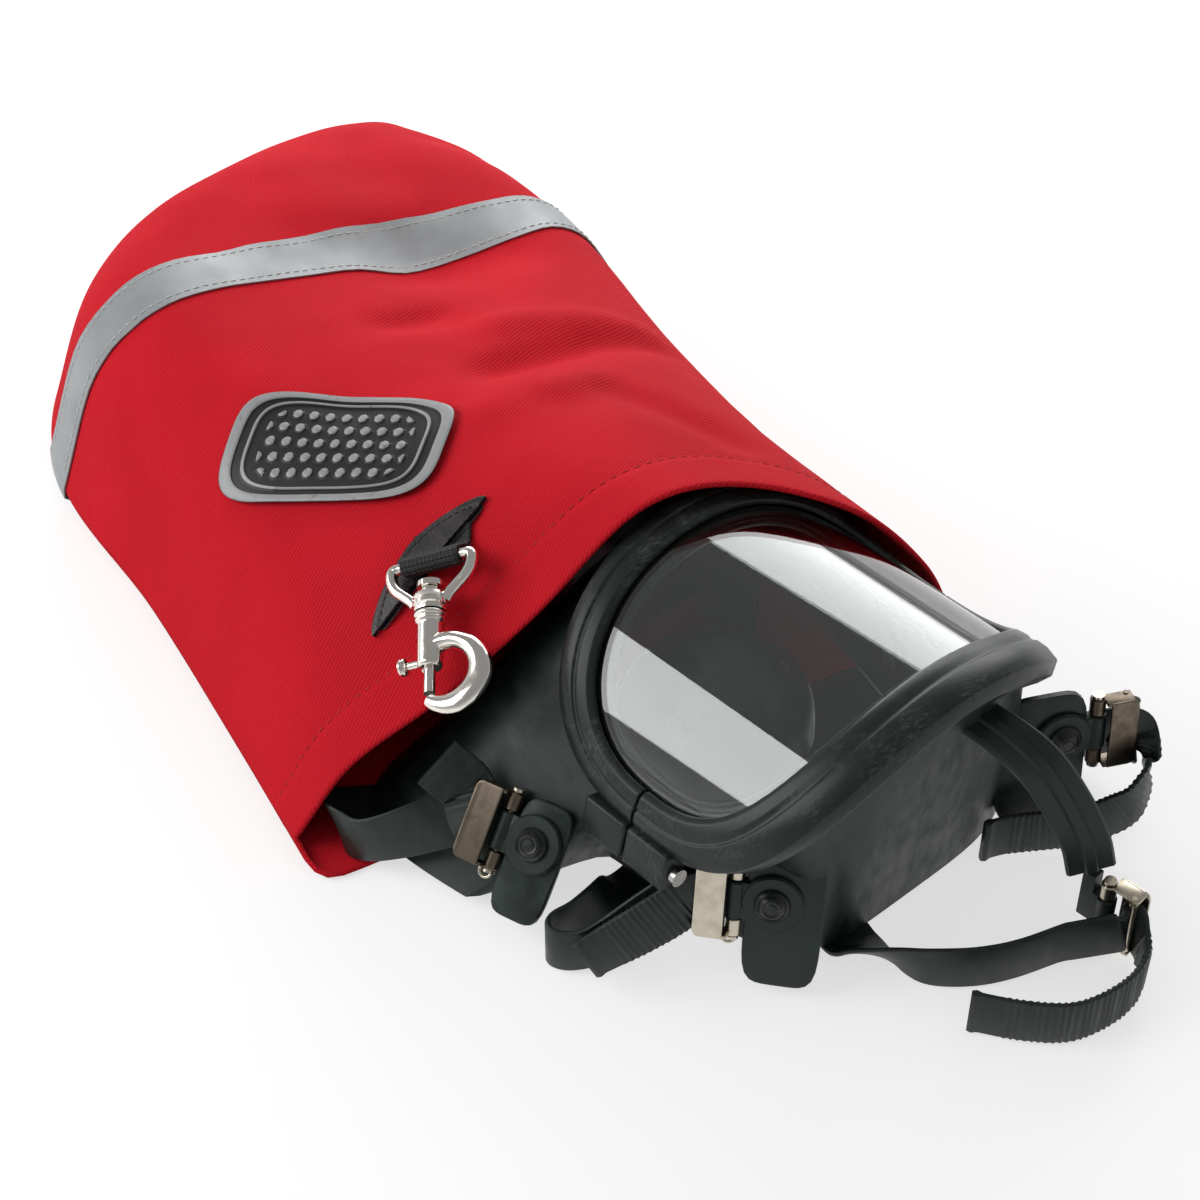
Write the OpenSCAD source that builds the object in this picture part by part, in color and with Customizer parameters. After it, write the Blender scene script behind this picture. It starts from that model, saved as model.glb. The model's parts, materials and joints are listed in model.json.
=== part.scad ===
// Full-face fire mask half pulled out of its red carry bag, with the bag's swivel snap hook.
// Lengths are in millimetres. Places are first written from the middle of the bag's mouth,
// +X out of the mouth and +Z up, and every node is then moved so that the origin is at the
// middle of the whole object, on the surface that it lies on.

/* [Bag] */
// Thickness of the bag's cloth with its seam allowance
bag_wall = 1.4; // [1.2:0.1:1.6]
// Height of the bag's underside over the surface, which leaves room for the tape
bag_floor = 1; // [0.9:0.1:1.2]
// Width of the reflective tape
tape_w = 26; // [20:1:30]
// Thickness of the reflective tape
tape_t = 0.6; // [0.4:0.1:0.7]
// Length of the rubber badge
badge_l = 86; // [70:1:90]
// Width of the rubber badge
badge_w = 48; // [40:1:52]
// Length of the leather tab along the bag's mouth
tab_l = 52; // [46:1:56]
// Width of the leather tab
tab_w = 24; // [20:1:26]
// Width of the webbing that holds the snap hook
webbing_w = 24; // [20:1:24]

/* [Snap hook] */
// Diameter of the eye's wire
eye_d = 4; // [3.6:0.1:4]
// Outside diameter of the shank
shank_d = 9.2; // [8.8:0.1:9.6]
// Diameter of the sliding bolt
bolt_d = 4; // [3.6:0.1:4.2]
// Travel of the sliding bolt
bolt_travel = 8; // [6:0.5:8]

/* [Mask] */
// Radius of the lens
lens_r = 76; // [74:1:78]
// Height of the lens from the forehead to the chin
lens_h = 112; // [108:1:114]
// Half of the angle that the lens wraps round the face
lens_arc = 67; // [64:1:68]
// Thickness of the lens
lens_t = 3; // [2.5:0.1:3]
// Roundness of the lens outline, where 2 is an ellipse
lens_round = 2.5; // [2.3:0.1:2.8]
// Thickness of the rubber face blank
blank_t = 3; // [2.5:0.1:3.2]
// Height of the face seal over the surface
seal_z = 5.5; // [5.4:0.1:6]
// Turn of the mask in the mouth of the bag
mask_yaw = 12; // [11:0.5:13]
// Lift of the forehead end of the mask
mask_pitch = 4; // [3.5:0.5:4.5]

/* [Harness] */
// Width of the rubber straps
strap_w = 20; // [18:0.5:20]
// Thickness of the rubber straps
strap_t = 2; // [1.6:0.1:2]
// Diameter of the buckle pins
pin_d = 2.4; // [2.2:0.1:2.4]

/* [Hidden] */
$fn = 48;

// Middle of the whole object, seen from the middle of the mouth
middle = [-90.22, 5.21, 0];
// Middle of the lens's cylinder
mask_at = [59.5, 32, 31.5];
function unit(v) = v / norm(v);
function mix(a, b, t) = a + (b - a) * t;
function signed_power(v, e) = sign(v) * pow(abs(v), e);
function ramp(t) = let (c = min(max(t, 0), 1)) c * c * (3 - 2 * c);

// Smooth curve through the values ps at the places xs
function span_of(xs, x, i = 0) = i >= len(xs) - 2 || x < xs[i + 1] ? i : span_of(xs, x, i + 1);
function slope_at(xs, ps, i) =
    let (a = max(i - 1, 0), b = min(i + 1, len(xs) - 1)) (ps[b] - ps[a]) / (xs[b] - xs[a]);
function smooth_at(xs, ps, x) =
    let (i = span_of(xs, x), d = xs[i + 1] - xs[i], t = (x - xs[i]) / d, t2 = t * t, t3 = t2 * t)
    ps[i] * (2 * t3 - 3 * t2 + 1) + slope_at(xs, ps, i) * d * (t3 - 2 * t2 + t)
    + ps[i + 1] * (3 * t2 - 2 * t3) + slope_at(xs, ps, i + 1) * d * (t3 - t2);

// Solids from rings of points
function side_faces(rings, n, wrap) = [
    for (i = [0 : rings - (wrap ? 1 : 2)]) for (j = [0 : n - 1])
        let (k = (i + 1) % rings, m = (j + 1) % n, a = i * n + j, b = i * n + m, c = k * n + m, d = k * n + j)
            each [[a, c, b], [a, d, c]]
];
module skin(rings) {
    n = len(rings[0]);
    caps = [[for (j = [0 : n - 1]) j], [for (j = [n - 1 : -1 : 0]) (len(rings) - 1) * n + j]];
    polyhedron([for (r = rings) each r], concat(caps, side_faces(len(rings), n, false)));
}
module closed_skin(rings)
    polyhedron([for (r = rings) each r], side_faces(len(rings), len(rings[0]), true));

module place() translate(-middle) children();
module on_mask() place() translate(mask_at) rotate([0, -mask_pitch, mask_yaw]) children();

// The bag: for each station, its place along the bag, then its left and right edges,
// then its heights at the shares of its width in bag_shares
bag_x = [-366, -360, -340, -300, -240, -150, -70, 0];
bag_shares = [0, 0.08, 0.2, 0.35, 0.5, 0.65, 0.8, 0.92, 1];
bag_rows = [
    [24, 76, 10, 14, 18, 20, 20, 19, 17, 13, 10],
    [-4, 90, 8, 21, 32, 38, 40, 39, 35, 24, 12],
    [-58, 100, 8, 32, 48, 56, 58, 56, 50, 35, 14],
    [-107, 111, 8, 48, 69, 75, 72, 66, 62, 47, 15],
    [-133, 121, 8, 58, 80, 77, 69, 62, 61, 50, 15],
    [-129, 118, 8, 54, 76, 82, 84, 81, 73, 50, 13],
    [-129, 119, 8, 46, 67, 86, 102, 102, 86, 54, 12],
    [-130, 133, 8, 38, 58, 82, 114, 112, 94, 54, 11]
];
// How far the lip of the mouth runs out at those shares, over the top and underneath
lip_x = [-14, -10, -5, -5, -4, 0, 17, 18, 10];
lip_under = 4;
// Length of the cloth that the lip's line bends
lip_l = 60;
top_points = 40;
floor_points = 6;
end_rings = 10;
// Setback of the floor's corners from the side edges
floor_inset = 3;
// Soft creases in the cloth: the ends of each one's line, its half width and how far the cloth drops
creases = [
    [[-154, 26], [-139, 80], 10, -4.5],
    [[-124, 10], [-126, 78], 9, 6.5],
    [[-97, -10], [-92, 30], 10, -3],
    [[-82, 34], [-33, 59], 8, 4.5],
    [[-181, -10], [-171, 10], 9, 3.5],
    [[-224, 26], [-220, 60], 21, 7.5],
    [[-266, 10], [-262, 30], 20, -5],
    [[-300, -20], [-264, -56], 16, 3]
];
// Length at the closed end over which the creases fade out
end_fade = 40;
// The cloth is held smooth round the middle of the leather tab, over these distances
held_at = [-34, -57];
held_over = [34, 40];

function bag_row(x) = smooth_at(bag_x, bag_rows, x);
function heights(row) = [for (i = [2 : len(row) - 1]) row[i]];
function crease_drop(crease, p) =
    let (run = crease[1] - crease[0], t = min(max((p - crease[0]) * run / (run * run), 0), 1))
    crease[3] * exp(-pow(norm(p - crease[0] - run * t) / crease[2], 2));
function total(v) = len(v) == 0 ? 0 : v * [for (i = v) 1];
function held(x, y) = exp(-pow((x - held_at[0]) / held_over[0], 2) - pow((y - held_at[1]) / held_over[1], 2));
function creased(x, y, q) =
    total([for (c = creases) crease_drop(c, [x, y])]) * (1 - held(x, y))
    * pow(max(sin(180 * q), 0), 0.6) * ramp((x - bag_x[0]) / end_fade);
function bag_top(x, y) =
    let (row = bag_row(x), q = (y - row[0]) / (row[1] - row[0]))
    smooth_at(bag_shares, heights(row), q) - creased(x, y, q);
function lip_shift(x, q) = smooth_at(bag_shares, lip_x, q) * ramp((x + lip_l) / lip_l);
// Slants of the left and right edges, which widen the inset measured across the bag
function edge_slants(x) =
    let (a = bag_row(max(x - 0.5, bag_x[0])), b = bag_row(min(x + 0.5, 0)))
    [for (i = [0, 1]) min(sqrt(1 + pow(b[i] - a[i], 2)), 6)];
// One ring of the bag, drawn in by inset; a negative inset stands proud
function bag_ring(x, inset) =
    let (row = bag_row(x), hs = heights(row), e = edge_slants(x),
         l = row[0] + inset * e[0], r = row[1] - inset * e[1])
    concat(
        [for (j = [0 : top_points])
            let (q = (1 - cos(180 * j / top_points)) / 2, px = x + lip_shift(x, q), y = mix(l, r, q))
            [px, y, smooth_at(bag_shares, hs, q) - creased(px, y, q) - inset]],
        [for (j = [0 : floor_points]) let (q = j / floor_points)
            [x + lip_under * ramp((x + lip_l) / lip_l), mix(r - floor_inset, l + floor_inset, q),
             bag_floor + inset]]
    );
tape_x = -241;
tape_gap = bag_floor - tape_t;
tape_steps = 4;
// Stations close together at the rounded end, then as far apart as the tape's own up to the mouth
tape_end = tape_x - tape_w / 2;
tape_step = tape_w / tape_steps;
bag_stations = concat(
    [for (i = [0 : end_rings - 1]) mix(bag_x[0], tape_end, 1 - cos(90 * i / end_rings))],
    [for (i = [0 : floor(-tape_end / tape_step - 0.3)]) tape_end + tape_step * i],
    [0]
);
module bag_shell() color("crimson") place() skin(concat(
    [for (i = [3 : len(bag_stations) - 1]) bag_ring(bag_stations[i], bag_wall)],
    [for (i = [len(bag_stations) - 1 : -1 : 0]) bag_ring(bag_stations[i], 0)]
));

function tape_rings(inset) = [
    for (i = [0 : tape_steps]) bag_ring(tape_end + tape_step * i, inset)
];
module reflective_tape() color("silver") place() {
    outer = tape_rings(-tape_gap - tape_t);
    inner = tape_rings(-tape_gap);
    closed_skin(concat(inner, [for (i = [tape_steps : -1 : 0]) outer[i]]));
}

// A pad that follows the bag's top: rings of a rounded outline, over and under
function pad_ring(at, l, w, turn, k, rise, count = 32) = [
    for (j = [0 : count - 1])
        let (a = 360 * j / count,
             u = k * l / 2 * signed_power(cos(a), 0.5), v = k * w / 2 * signed_power(sin(a), 0.5),
             x = at[0] + u * cos(turn) - v * sin(turn), y = at[1] + u * sin(turn) + v * cos(turn))
            [x, y, bag_top(x, y) + rise]
];
module bag_pad(at, l, w, turn, low, high) {
    shares = [0.05, 0.3, 0.55, 0.8, 1];
    skin(concat(
        [for (k = shares) pad_ring(at, l, w, turn, k, low)],
        [for (i = [len(shares) - 1 : -1 : 0]) pad_ring(at, l, w, turn, shares[i] * 0.98, high)]
    ));
}
badge_at = [-119, -60];
badge_turn = 45;
module badge_patch() color("dimgray") place() bag_pad(badge_at, badge_l, badge_w, badge_turn, 0.8, 3.2);

// The hook's chain: its origin is the middle of the eye's bar, +X along the hook, +Z off the bag
hook_at = [-42.5, -58.4, 85.8];
hook_x = unit([0.83, -0.44, -0.27]);
hook_lean = [0.08, -0.52, 0.85];
hook_y = unit(cross(hook_lean, hook_x));
hook_z = cross(hook_x, hook_y);
module on_hook() place() multmatrix([
    [hook_x[0], hook_y[0], hook_z[0], hook_at[0]],
    [hook_x[1], hook_y[1], hook_z[1], hook_at[1]],
    [hook_x[2], hook_y[2], hook_z[2], hook_at[2]]
]) children();
module rod(from, to, d) {
    v = to - from;
    translate(from) rotate([0, acos(v[2] / norm(v)), atan2(v[1], v[0])]) cylinder(d = d, h = norm(v));
}
module rod_x(x0, x1, d) translate([x0, 0, 0]) rotate([0, 90, 0]) cylinder(d = d, h = x1 - x0);
run_gap = 0.08;
web_t = 1.5;
tab_t = 2.4;
web_leg = 14;

tab_at = [-48, -57];
tab_turn = 94;
module leather_tab() color("black") place() bag_pad(tab_at, tab_l, tab_w, tab_turn, 0.5, 0.5 + tab_t);
module webbing_loop() color("black") on_hook() {
    r = eye_d / 2 + run_gap;
    rotate([90, 0, 0]) translate([0, 0, -webbing_w / 2]) linear_extrude(webbing_w) {
        difference() {
            circle(r + web_t);
            circle(r);
            translate([-2 * r - web_t, -2 * r - web_t]) square([2 * r + web_t, 4 * r + 2 * web_t]);
        }
        translate([-web_leg, r]) square([web_leg, web_t]);
        translate([-web_leg, -r - web_t]) square([web_leg, web_t]);
    }
}

bow_half = 15;
bow_extra = 0.5;
collar_x = 14;
collar_l = 7;
neck_d = 7;
rivet_x = 9.2;
rivet_l = 2;
module snap_eye() color("lightsteelblue") on_hook() difference() {
    union() {
        rod([0, -bow_half, 0], [0, bow_half, 0], eye_d);
        rotate([0, 0, -90]) rotate_extrude(angle = 180)
            translate([bow_half, 0]) circle(d = eye_d + bow_extra);
        rod_x(collar_x, collar_x + collar_l, 13);
    }
    rod_x(rivet_x, collar_x + collar_l + 1, neck_d + 2 * run_gap);
}
shank_x = collar_x + collar_l + 0.3;
shank_end = 42;
loop_at = [45, 6];
loop_r = 12;
loop_wire = 6.4;
bore_x = 26;
knob_x = 39.5;
module hook_body() color("lightsteelblue") on_hook() difference() {
    union() {
        rod_x(rivet_x + rivet_l, shank_x + 1, neck_d);
        rod_x(shank_x, shank_x + 3, 12);
        rod_x(shank_x + 2, shank_end, shank_d);
        translate([loop_at[0], loop_at[1], 0]) rotate([0, 0, -30]) rotate_extrude(angle = 230)
            translate([loop_r, 0]) circle(d = loop_wire);
    }
    rod_x(bore_x, shank_end + 8, bolt_d + 2 * run_gap);
    translate([knob_x - bolt_travel - 2.2, -shank_d, -1.7])
        cube([shank_end - knob_x + bolt_travel + 8, shank_d, 3.4]);
}
module swivel_rivet() color("lightsteelblue") on_hook() rod_x(rivet_x, rivet_x + rivet_l, 10);
bolt_back = 36;
bolt_tip = loop_at[0] + sqrt(loop_r * loop_r - loop_at[1] * loop_at[1]) - loop_wire / 2 - 0.4;
module hook_bolt() color("gainsboro") on_hook() rod_x(bolt_back, bolt_tip, bolt_d);
module bolt_knob() color("gainsboro") on_hook() {
    rod([knob_x, -bolt_d / 2 + 0.4, 0], [knob_x, -9, 0], 2.8);
    rod([knob_x, -8.6, 0], [knob_x, -11.4, 0], 6.6);
}

// A helical spring along X
function spring_rings(x0, x1, r, wire, turns, per_turn = 8, sides = 6) = [
    for (i = [0 : turns * per_turn])
        let (a = 360 * i / per_turn, x = mix(x0, x1, i / (turns * per_turn)), out = [0, cos(a), sin(a)])
            [for (j = [0 : sides - 1]) let (b = -360 * j / sides)
                [x + wire / 2 * sin(b), 0, 0] + out * (r + wire / 2 * cos(b))]
];
// Least gap of such a spring to itself, between points more than half a turn apart
function spring_point(x0, x1, r, turns, i, n) =
    let (a = 360 * turns * i / n) [mix(x0, x1, i / n), r * cos(a), r * sin(a)];
function spring_gap(x0, x1, r, wire, turns, n = 96) = min([
    for (i = [0 : n]) for (j = [i + ceil(n / turns / 2) : 1 : n])
        norm(spring_point(x0, x1, r, turns, i, n) - spring_point(x0, x1, r, turns, j, n)) - wire
]);
// From, to, radius, wire and turns of the bolt's spring and of the exhale valve's spring
bolt_coil = [bore_x + 0.6, bolt_back - 0.6, 1.35, 0.6, 6];
valve_coil = [5.5, 10, 4, 0.7, 3];
module coil(c) skin(spring_rings(c[0], c[1], c[2], c[3], c[4]));
for (c = [bolt_coil, valve_coil]) echo(least_gap = spring_gap(c[0], c[1], c[2], c[3], c[4]));
module bolt_spring() color("gray") on_hook() coil(bolt_coil);

// A rounded outline of half size 1 in the direction t; e is 2 for a circle and more for a squarer one
function round_dir(t, e) = let (c = cos(t), n = sin(t)) [c, n] * pow(pow(abs(c), e) + pow(abs(n), e), -1 / e);
// The mask's lens outline: t runs round it from the forehead, grow widens it, rise lifts it off the lens
function lens_point(t, grow, rise, k = 1) =
    let (d = round_dir(t, lens_round), r = lens_r + rise,
         a = k * (lens_arc + grow / lens_r * 180 / PI) * d[1])
    [k * (lens_h / 2 + grow) * d[0], r * sin(a), r * cos(a)];
outline_points = 60;
function outline_angle(i) = 360 * i / outline_points;
function lens_ring(k, rise) = [for (i = [0 : outline_points - 1]) lens_point(outline_angle(i), 0, rise, k)];
lens_shares = [0.04, 0.25, 0.5, 0.75, 1];
module lens() color("lightcyan", 0.4) on_mask() skin(concat(
    [for (k = lens_shares) lens_ring(k, -lens_t)],
    [for (i = [len(lens_shares) - 1 : -1 : 0]) lens_ring(lens_shares[i], 0)]
));
// The bezel is broader at the forehead
function broad(t, grow) = grow > 2 ? grow * (1 + 0.5 * max(cos(t), 0)) : grow;
module rim_band(profile, from, to, steps) skin([
    for (i = [0 : steps]) let (t = mix(from, to, i / steps))
        [for (p = profile) lens_point(t, broad(t, p[0]), p[1])]
]);
gasket_profile = [[-5, -4], [0.7, -4], [0.7, -7.6], [-3, -7.6]];
module lens_gasket() color("black") on_mask() closed_skin([
    for (i = [0 : outline_points - 1]) [for (p = gasket_profile) lens_point(outline_angle(i), p[0], p[1])]
]);
bezel_profile = [[-4, 0.4], [-4, 2.6], [-2, 4], [4, 4.4], [10, 2.5], [11, -3], [9, -8], [1.2, -8],
    [1.2, 0.4]];
// Angle on the outline where the two halves of the bezel meet, and the gap between them
bezel_split = 92;
bezel_gap = 0.5;
ear_screw_d = 4;
ear_screw_z = -1;
// Ears below the split at both sides, one on each half
ear_at = [-2.4, 75.5, 15];
module bezel_ear(side, forward) {
    l = 20;
    s = side * ear_at[1];
    dir = forward ? 1 : -1;
    translate([ear_at[0] + dir * (0.35 + l / 2), s, ear_at[2]]) rotate([side * 15, 0, 0]) difference() {
        translate([-l / 2, -5, -7]) cube([l, 9, 14]);
        translate([-dir * l / 2, 0, -9]) rotate([0, dir * -35, 0])
            translate([dir * l * 0.75 - 20, -10, -30]) cube([40, 20, 20]);
        translate([0, 0, ear_screw_z]) rod_x(-2 * l, 2 * l, ear_screw_d + 0.2);
    }
}
module bezel_upper() color("dimgray") on_mask() {
    rim_band(bezel_profile, -bezel_split + bezel_gap, bezel_split - bezel_gap, 36);
    for (side = [-1, 1]) bezel_ear(side, true);
}
module bezel_lower() color("dimgray") on_mask() {
    rim_band(bezel_profile, bezel_split + bezel_gap, 360 - bezel_split - bezel_gap, 34);
    for (side = [-1, 1]) bezel_ear(side, false);
}
module bezel_screws() color("gray") on_mask() for (side = [-1, 1])
    translate([ear_at[0], side * ear_at[1], ear_at[2]]) rotate([side * 15, 0, 0])
    translate([0, 0, ear_screw_z]) {
        rod_x(-12, 21, ear_screw_d - 0.2);
        rod_x(20.6, 23, 6.4);
    }

// The face blank: its top ring is under the bezel, its foot is the face seal
seal_mid = -36;
seal_half = 85;
far_width = 80;
far_taper = 0.25;
near_width = 64;
near_taper = 0.12;
seal_round = 4.5;
// The soft rubber is spread at the jaw on the near side and at the forehead on the far side
jaw_spread = 0.72;
brow_spread = 0.2;
seal_lip = 13;
// Hollow behind the near temple buckle, and its place on the outline
temple_hollow = 12;
temple_t = -68;
function seal_low(x) = (seal_z - mask_at[2] - x * sin(mask_pitch)) / cos(mask_pitch);
function near_half(x) = (near_width - near_taper * (x - seal_mid)) * (1 + jaw_spread * ramp((-x - 30) / 20));
function far_half(x) = (far_width - far_taper * (x - seal_mid)) * (1 + brow_spread * ramp(x / 40));
function seal_point(t, draw) =
    let (d = round_dir(t, seal_round), x = seal_mid + (seal_half - draw) * d[0],
         w = (d[1] < 0 ? near_half(x) : far_half(x)) - draw)
    [x, w * d[1], seal_low(x)];
function blank_point(t, k, draw) =
    let (top = lens_point(t, 8 - draw, -8.6), foot = seal_point(t, draw), belly = 10 * sin(180 * k) * (1 - k),
         hollow = temple_hollow * sin(180 * k) * pow(max(cos(t - temple_t), 0), 6))
    mix(top, foot, k)
    + [belly * cos(t) * (cos(t) < 0 ? 1.4 : 0.2), belly * sin(t) * 0.2 + hollow, belly * 0.6];
function blank_ring(k, draw) = [for (i = [0 : outline_points - 1]) blank_point(-outline_angle(i), k, draw)];
function lip_ring(draw, rise) = [
    for (i = [0 : outline_points - 1]) seal_point(-outline_angle(i), draw) + [0, 0, rise]
];
blank_shares = [0, 0.2, 0.4, 0.6, 0.8, 1];
module face_blank() color("black") difference() {
    on_mask() closed_skin(concat(
        [for (k = blank_shares) blank_ring(k, 0)],
        [lip_ring(seal_lip, 1)],
        [lip_ring(seal_lip, 3)],
        [for (i = [len(blank_shares) - 2 : -1 : 0]) blank_ring(blank_shares[i], blank_t)]
    ));
    on_port() {
        rod_z(-12, 6, port_bore);
        rod_z(0.2, 20, 45);
    }
    on_exhale() {
        rod_z(-12, 6, exhale_bore);
        rod_z(-0.2, 20, 24);
    }
}

// A flat strap along a path whose rows are a place and the direction of its width
function path_steps(rows, per) = [for (i = [0 : (len(rows) - 1) * per]) i / per];
function eased(rows, per) =
    let (xs = [for (i = [0 : len(rows) - 1]) i]) [for (s = path_steps(rows, per)) smooth_at(xs, rows, s)];
function place_of(row) = [row[0], row[1], row[2]];
function heading(rows, i) =
    unit(place_of(rows[min(i + 1, len(rows) - 1)]) - place_of(rows[max(i - 1, 0)]));
// Rows of a place and a roll, where 0 stands the strap on its edge and 90 lays it flat
function rolled(rows) = [for (i = [0 : len(rows) - 1])
    let (t = heading(rows, i), level = unit(cross([0, 0, 1], t)), w = unit(cross(t, level)), r = rows[i][3])
        concat(place_of(rows[i]), w * cos(r) + level * sin(r))];
module ribbon(rows, w, t) skin([for (i = [0 : len(rows) - 1])
    let (p = place_of(rows[i]), wide = unit([rows[i][3], rows[i][4], rows[i][5]]),
         thick = unit(cross(heading(rows, i), wide)), a = wide * w / 2, b = thick * t / 2)
        [p - a - b, p + a - b, p + a + b, p - a + b]]);
module strap(rows) color("black") place() ribbon(rolled(eased(rows, 3)), strap_w, strap_t);

// The routes of the straps, as a place and a roll: from the buckle to the pad, and the free tails
edge_z = 10.4;
flat_z = 2.4;
forehead_route = [[155.5, 76, 11.5, 0], [153, 59, edge_z, 0], [149, 45, edge_z, 0], [142, 31, edge_z, 0],
    [134, 24, edge_z, 0], [127, 20, 9.8, 38], [121, 18.5, 5.6, 72], [115, 18, 2.6, 90], [100, 19, flat_z, 90],
    [86, 20, flat_z, 90], [73, 22, flat_z, 90]];
near_temple_route = [[89.6, -31.4, 31.6, 0], [86.6, -39.6, 20, 0], [83, -49, 11.5, 0], [78, -60, edge_z, 0],
    [71, -66.5, edge_z, 0], [64.5, -67, edge_z, 0], [60.5, -60, edge_z, 0], [59, -51, 9.6, 38],
    [57.5, -43, 5.2, 72], [56, -36, flat_z, 90], [52, -20, flat_z, 90], [49, -6, flat_z, 90]];
far_temple_route = [[105, 141, 32, 0], [96, 143, 20, 0], [84, 136, 12, 0], [76, 127, 10.9, 0],
    [72, 120, 10, 38], [69, 112.5, 5.4, 72], [66, 105, flat_z, 90], [56, 80, flat_z, 90],
    [50, 62, flat_z, 90], [47, 50, flat_z, 90]];
near_jaw_route = [[20.6, -83, 28.6, 0], [16.8, -95.6, 25, 0], [10, -103, 19, 0], [4, -113, 14.4, 0],
    [-5, -115.5, 13, 0], [-13, -113, 11.8, 33],
    [-17.5, -107, 7.6, 66], [-18, -98.5, 4.2, 88], [-13, -85, 4.2, 90], [-4, -64, 4.1, 90], [6, -42, 4, 90],
    [12, -27, 4, 90], [18, -13, 3.4, 90], [24, 0, 2.7, 90]];
far_jaw_route = [[-20, 110.6, 17, 0], [-31, 113.8, 14.8, 0], [-42, 114, 13.6, 0], [-53, 109.6, 11.6, 33],
    [-62, 104.2, 7.5, 68], [-67, 96, 4.2, 88], [-62, 84, 4.1, 90], [-40, 65, 4.1, 90], [-12, 49, 4, 90],
    [3, 42, 4, 90], [12, 38, 3.5, 90], [19, 35, 2.7, 90]];
forehead_free = [[169, 98.5, 12, 0], [176, 95, 11, 0], [182, 86, edge_z, 0], [184.5, 73, edge_z, 0],
    [183, 59, edge_z, 0], [174.5, 45.5, edge_z, 0], [163, 33, edge_z, 0]];
near_temple_free = [[94.6, -34.4, 34.4, 0], [94, -42.4, 30.2, 0], [91.8, -51, 26.4, 0], [89.2, -60, 22, 0],
    [88, -69, 17, 0]];
far_temple_free = [[114.5, 139.2, 33, 0], [119.6, 132.6, 23, 0], [114.5, 119, 14, 0], [111, 106, 10.8, 0],
    [107, 93, edge_z, 0], [105, 79, edge_z, 0]];
near_jaw_free = [[17.9, -77, 38.1, 0], [13.2, -80.6, 41.8, 0], [9, -84, 46, 0]];
far_jaw_free = [[-21.6, 104.4, 25, 0], [-28, 104, 27, 0], [-36, 102.5, 29.5, 0]];
module forehead_strap() strap(forehead_route);
module near_temple_strap() strap(near_temple_route);
module far_temple_strap() strap(far_temple_route);
module near_jaw_strap() strap(near_jaw_route);
module far_jaw_strap() strap(far_jaw_route);
module forehead_tail() strap(forehead_free);
module near_temple_tail() strap(near_temple_free);
module far_temple_tail() strap(far_temple_free);
module near_jaw_tail() strap(near_jaw_free);
module far_jaw_tail() strap(far_jaw_free);

// Buckles: the middle of the pin, the turn and lean of the frame, and which side its lever is on
forehead_seat = [[154, 94, 16.5], 17, 0, 1];
near_temple_seat = [[101.4, -20.5, 35], -129, 20, 1];
far_temple_seat = [[104, 123, 44], 75, -8, -1];
near_jaw_seat = [[34.9, -72.1, 30], -150, 43, 1];
far_jaw_seat = [[-4, 105.3, 20.8], 177, -6, -1];
module on_seat(seat) place() translate(seat[0]) rotate([0, 0, seat[1]]) rotate([seat[2], 0, 0])
    mirror([0, seat[3] < 0 ? 1 : 0, 0]) children();
knuckle_half = 7;
ear_low = 7.4;
ear_high = 14;
roller_x = 10;
roller_d = 3.2;
lever_x = 3;
lever_y = 4.2;
lever_t = 1.2;
module rod_z(z0, z1, d) translate([0, 0, z0]) cylinder(d = d, h = z1 - z0);
module knuckle() difference() {
    union() {
        rod_z(-knuckle_half, knuckle_half, 6.8);
        translate([-7, -2.4, -knuckle_half]) cube([7, 4.8, 2 * knuckle_half]);
    }
    rod_z(-20, 20, pin_d + 0.1);
}
module buckle_pin() {
    rod_z(-ear_high - 1.4, ear_high + 1.4, pin_d);
    for (s = [-1, 1]) translate([0, 0, s * (ear_high + 0.9)]) cylinder(d = 4.4, h = 1, center = true);
}
module buckle_frame() color("silver") difference() {
    union() {
        for (s = [-1, 1]) {
            low = s > 0 ? ear_low : -ear_high;
            rod_z(low, low + ear_high - ear_low, 5.6);
            translate([0, -1.2, s > 0 ? ear_high - 1.4 : -ear_high]) cube([roller_x + 3, lever_y + 1.6, 1.4]);
        }
        translate([lever_x, lever_y, -ear_high]) cube([roller_x + 3 - lever_x, lever_t, 2 * ear_high]);
    }
    rod_z(-30, 30, pin_d + 2 * run_gap);
    translate([roller_x, 0, 0]) rod_z(-30, 30, roller_d - 1.2 + 0.1);
}
module buckle_roller() color("gray") translate([roller_x, 0, 0]) {
    rod_z(-ear_high - 0.3, ear_high + 0.3, roller_d - 1.2);
    rod_z(-ear_high + 1.7, ear_high - 1.7, roller_d);
}
// A rubber tab with its boss; the stud goes through both
stud_x = -12.5;
boss_h = 2.4;
module lug_tab(w, low, high) color("black") {
    corner = 5;
    difference() {
        union() {
            knuckle();
            translate([-3.5 - w, 0.5, 0]) rotate([90, 0, 0]) linear_extrude(blank_t) {
                translate([corner, low]) square([w - 2 * corner, high - low]);
                translate([0, low + corner]) square([w, high - low - 2 * corner]);
                for (x = [corner, w - corner], z = [low + corner, high - corner])
                    translate([x, z]) circle(corner);
            }
            translate([stud_x, 0.4, 0]) rotate([-90, 0, 0]) cylinder(d = 21, h = boss_h);
        }
        translate([stud_x, -10, 0]) rotate([-90, 0, 0]) cylinder(d = 6.2, h = 20);
    }
}
module lug_stud() translate([stud_x, -blank_t + 0.4, 0]) rotate([-90, 0, 0]) {
    cylinder(d = 6, h = blank_t + boss_h + 0.2);
    translate([0, 0, blank_t + boss_h + 0.1]) cylinder(d1 = 12, d2 = 8, h = 3.2);
    translate([0, 0, -1.6]) cylinder(d = 10, h = 1.6);
}
module near_temple_lug() on_seat(near_temple_seat) lug_tab(26, -32, 22);
module far_temple_lug() on_seat(far_temple_seat) lug_tab(32, -36, 18);
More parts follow.
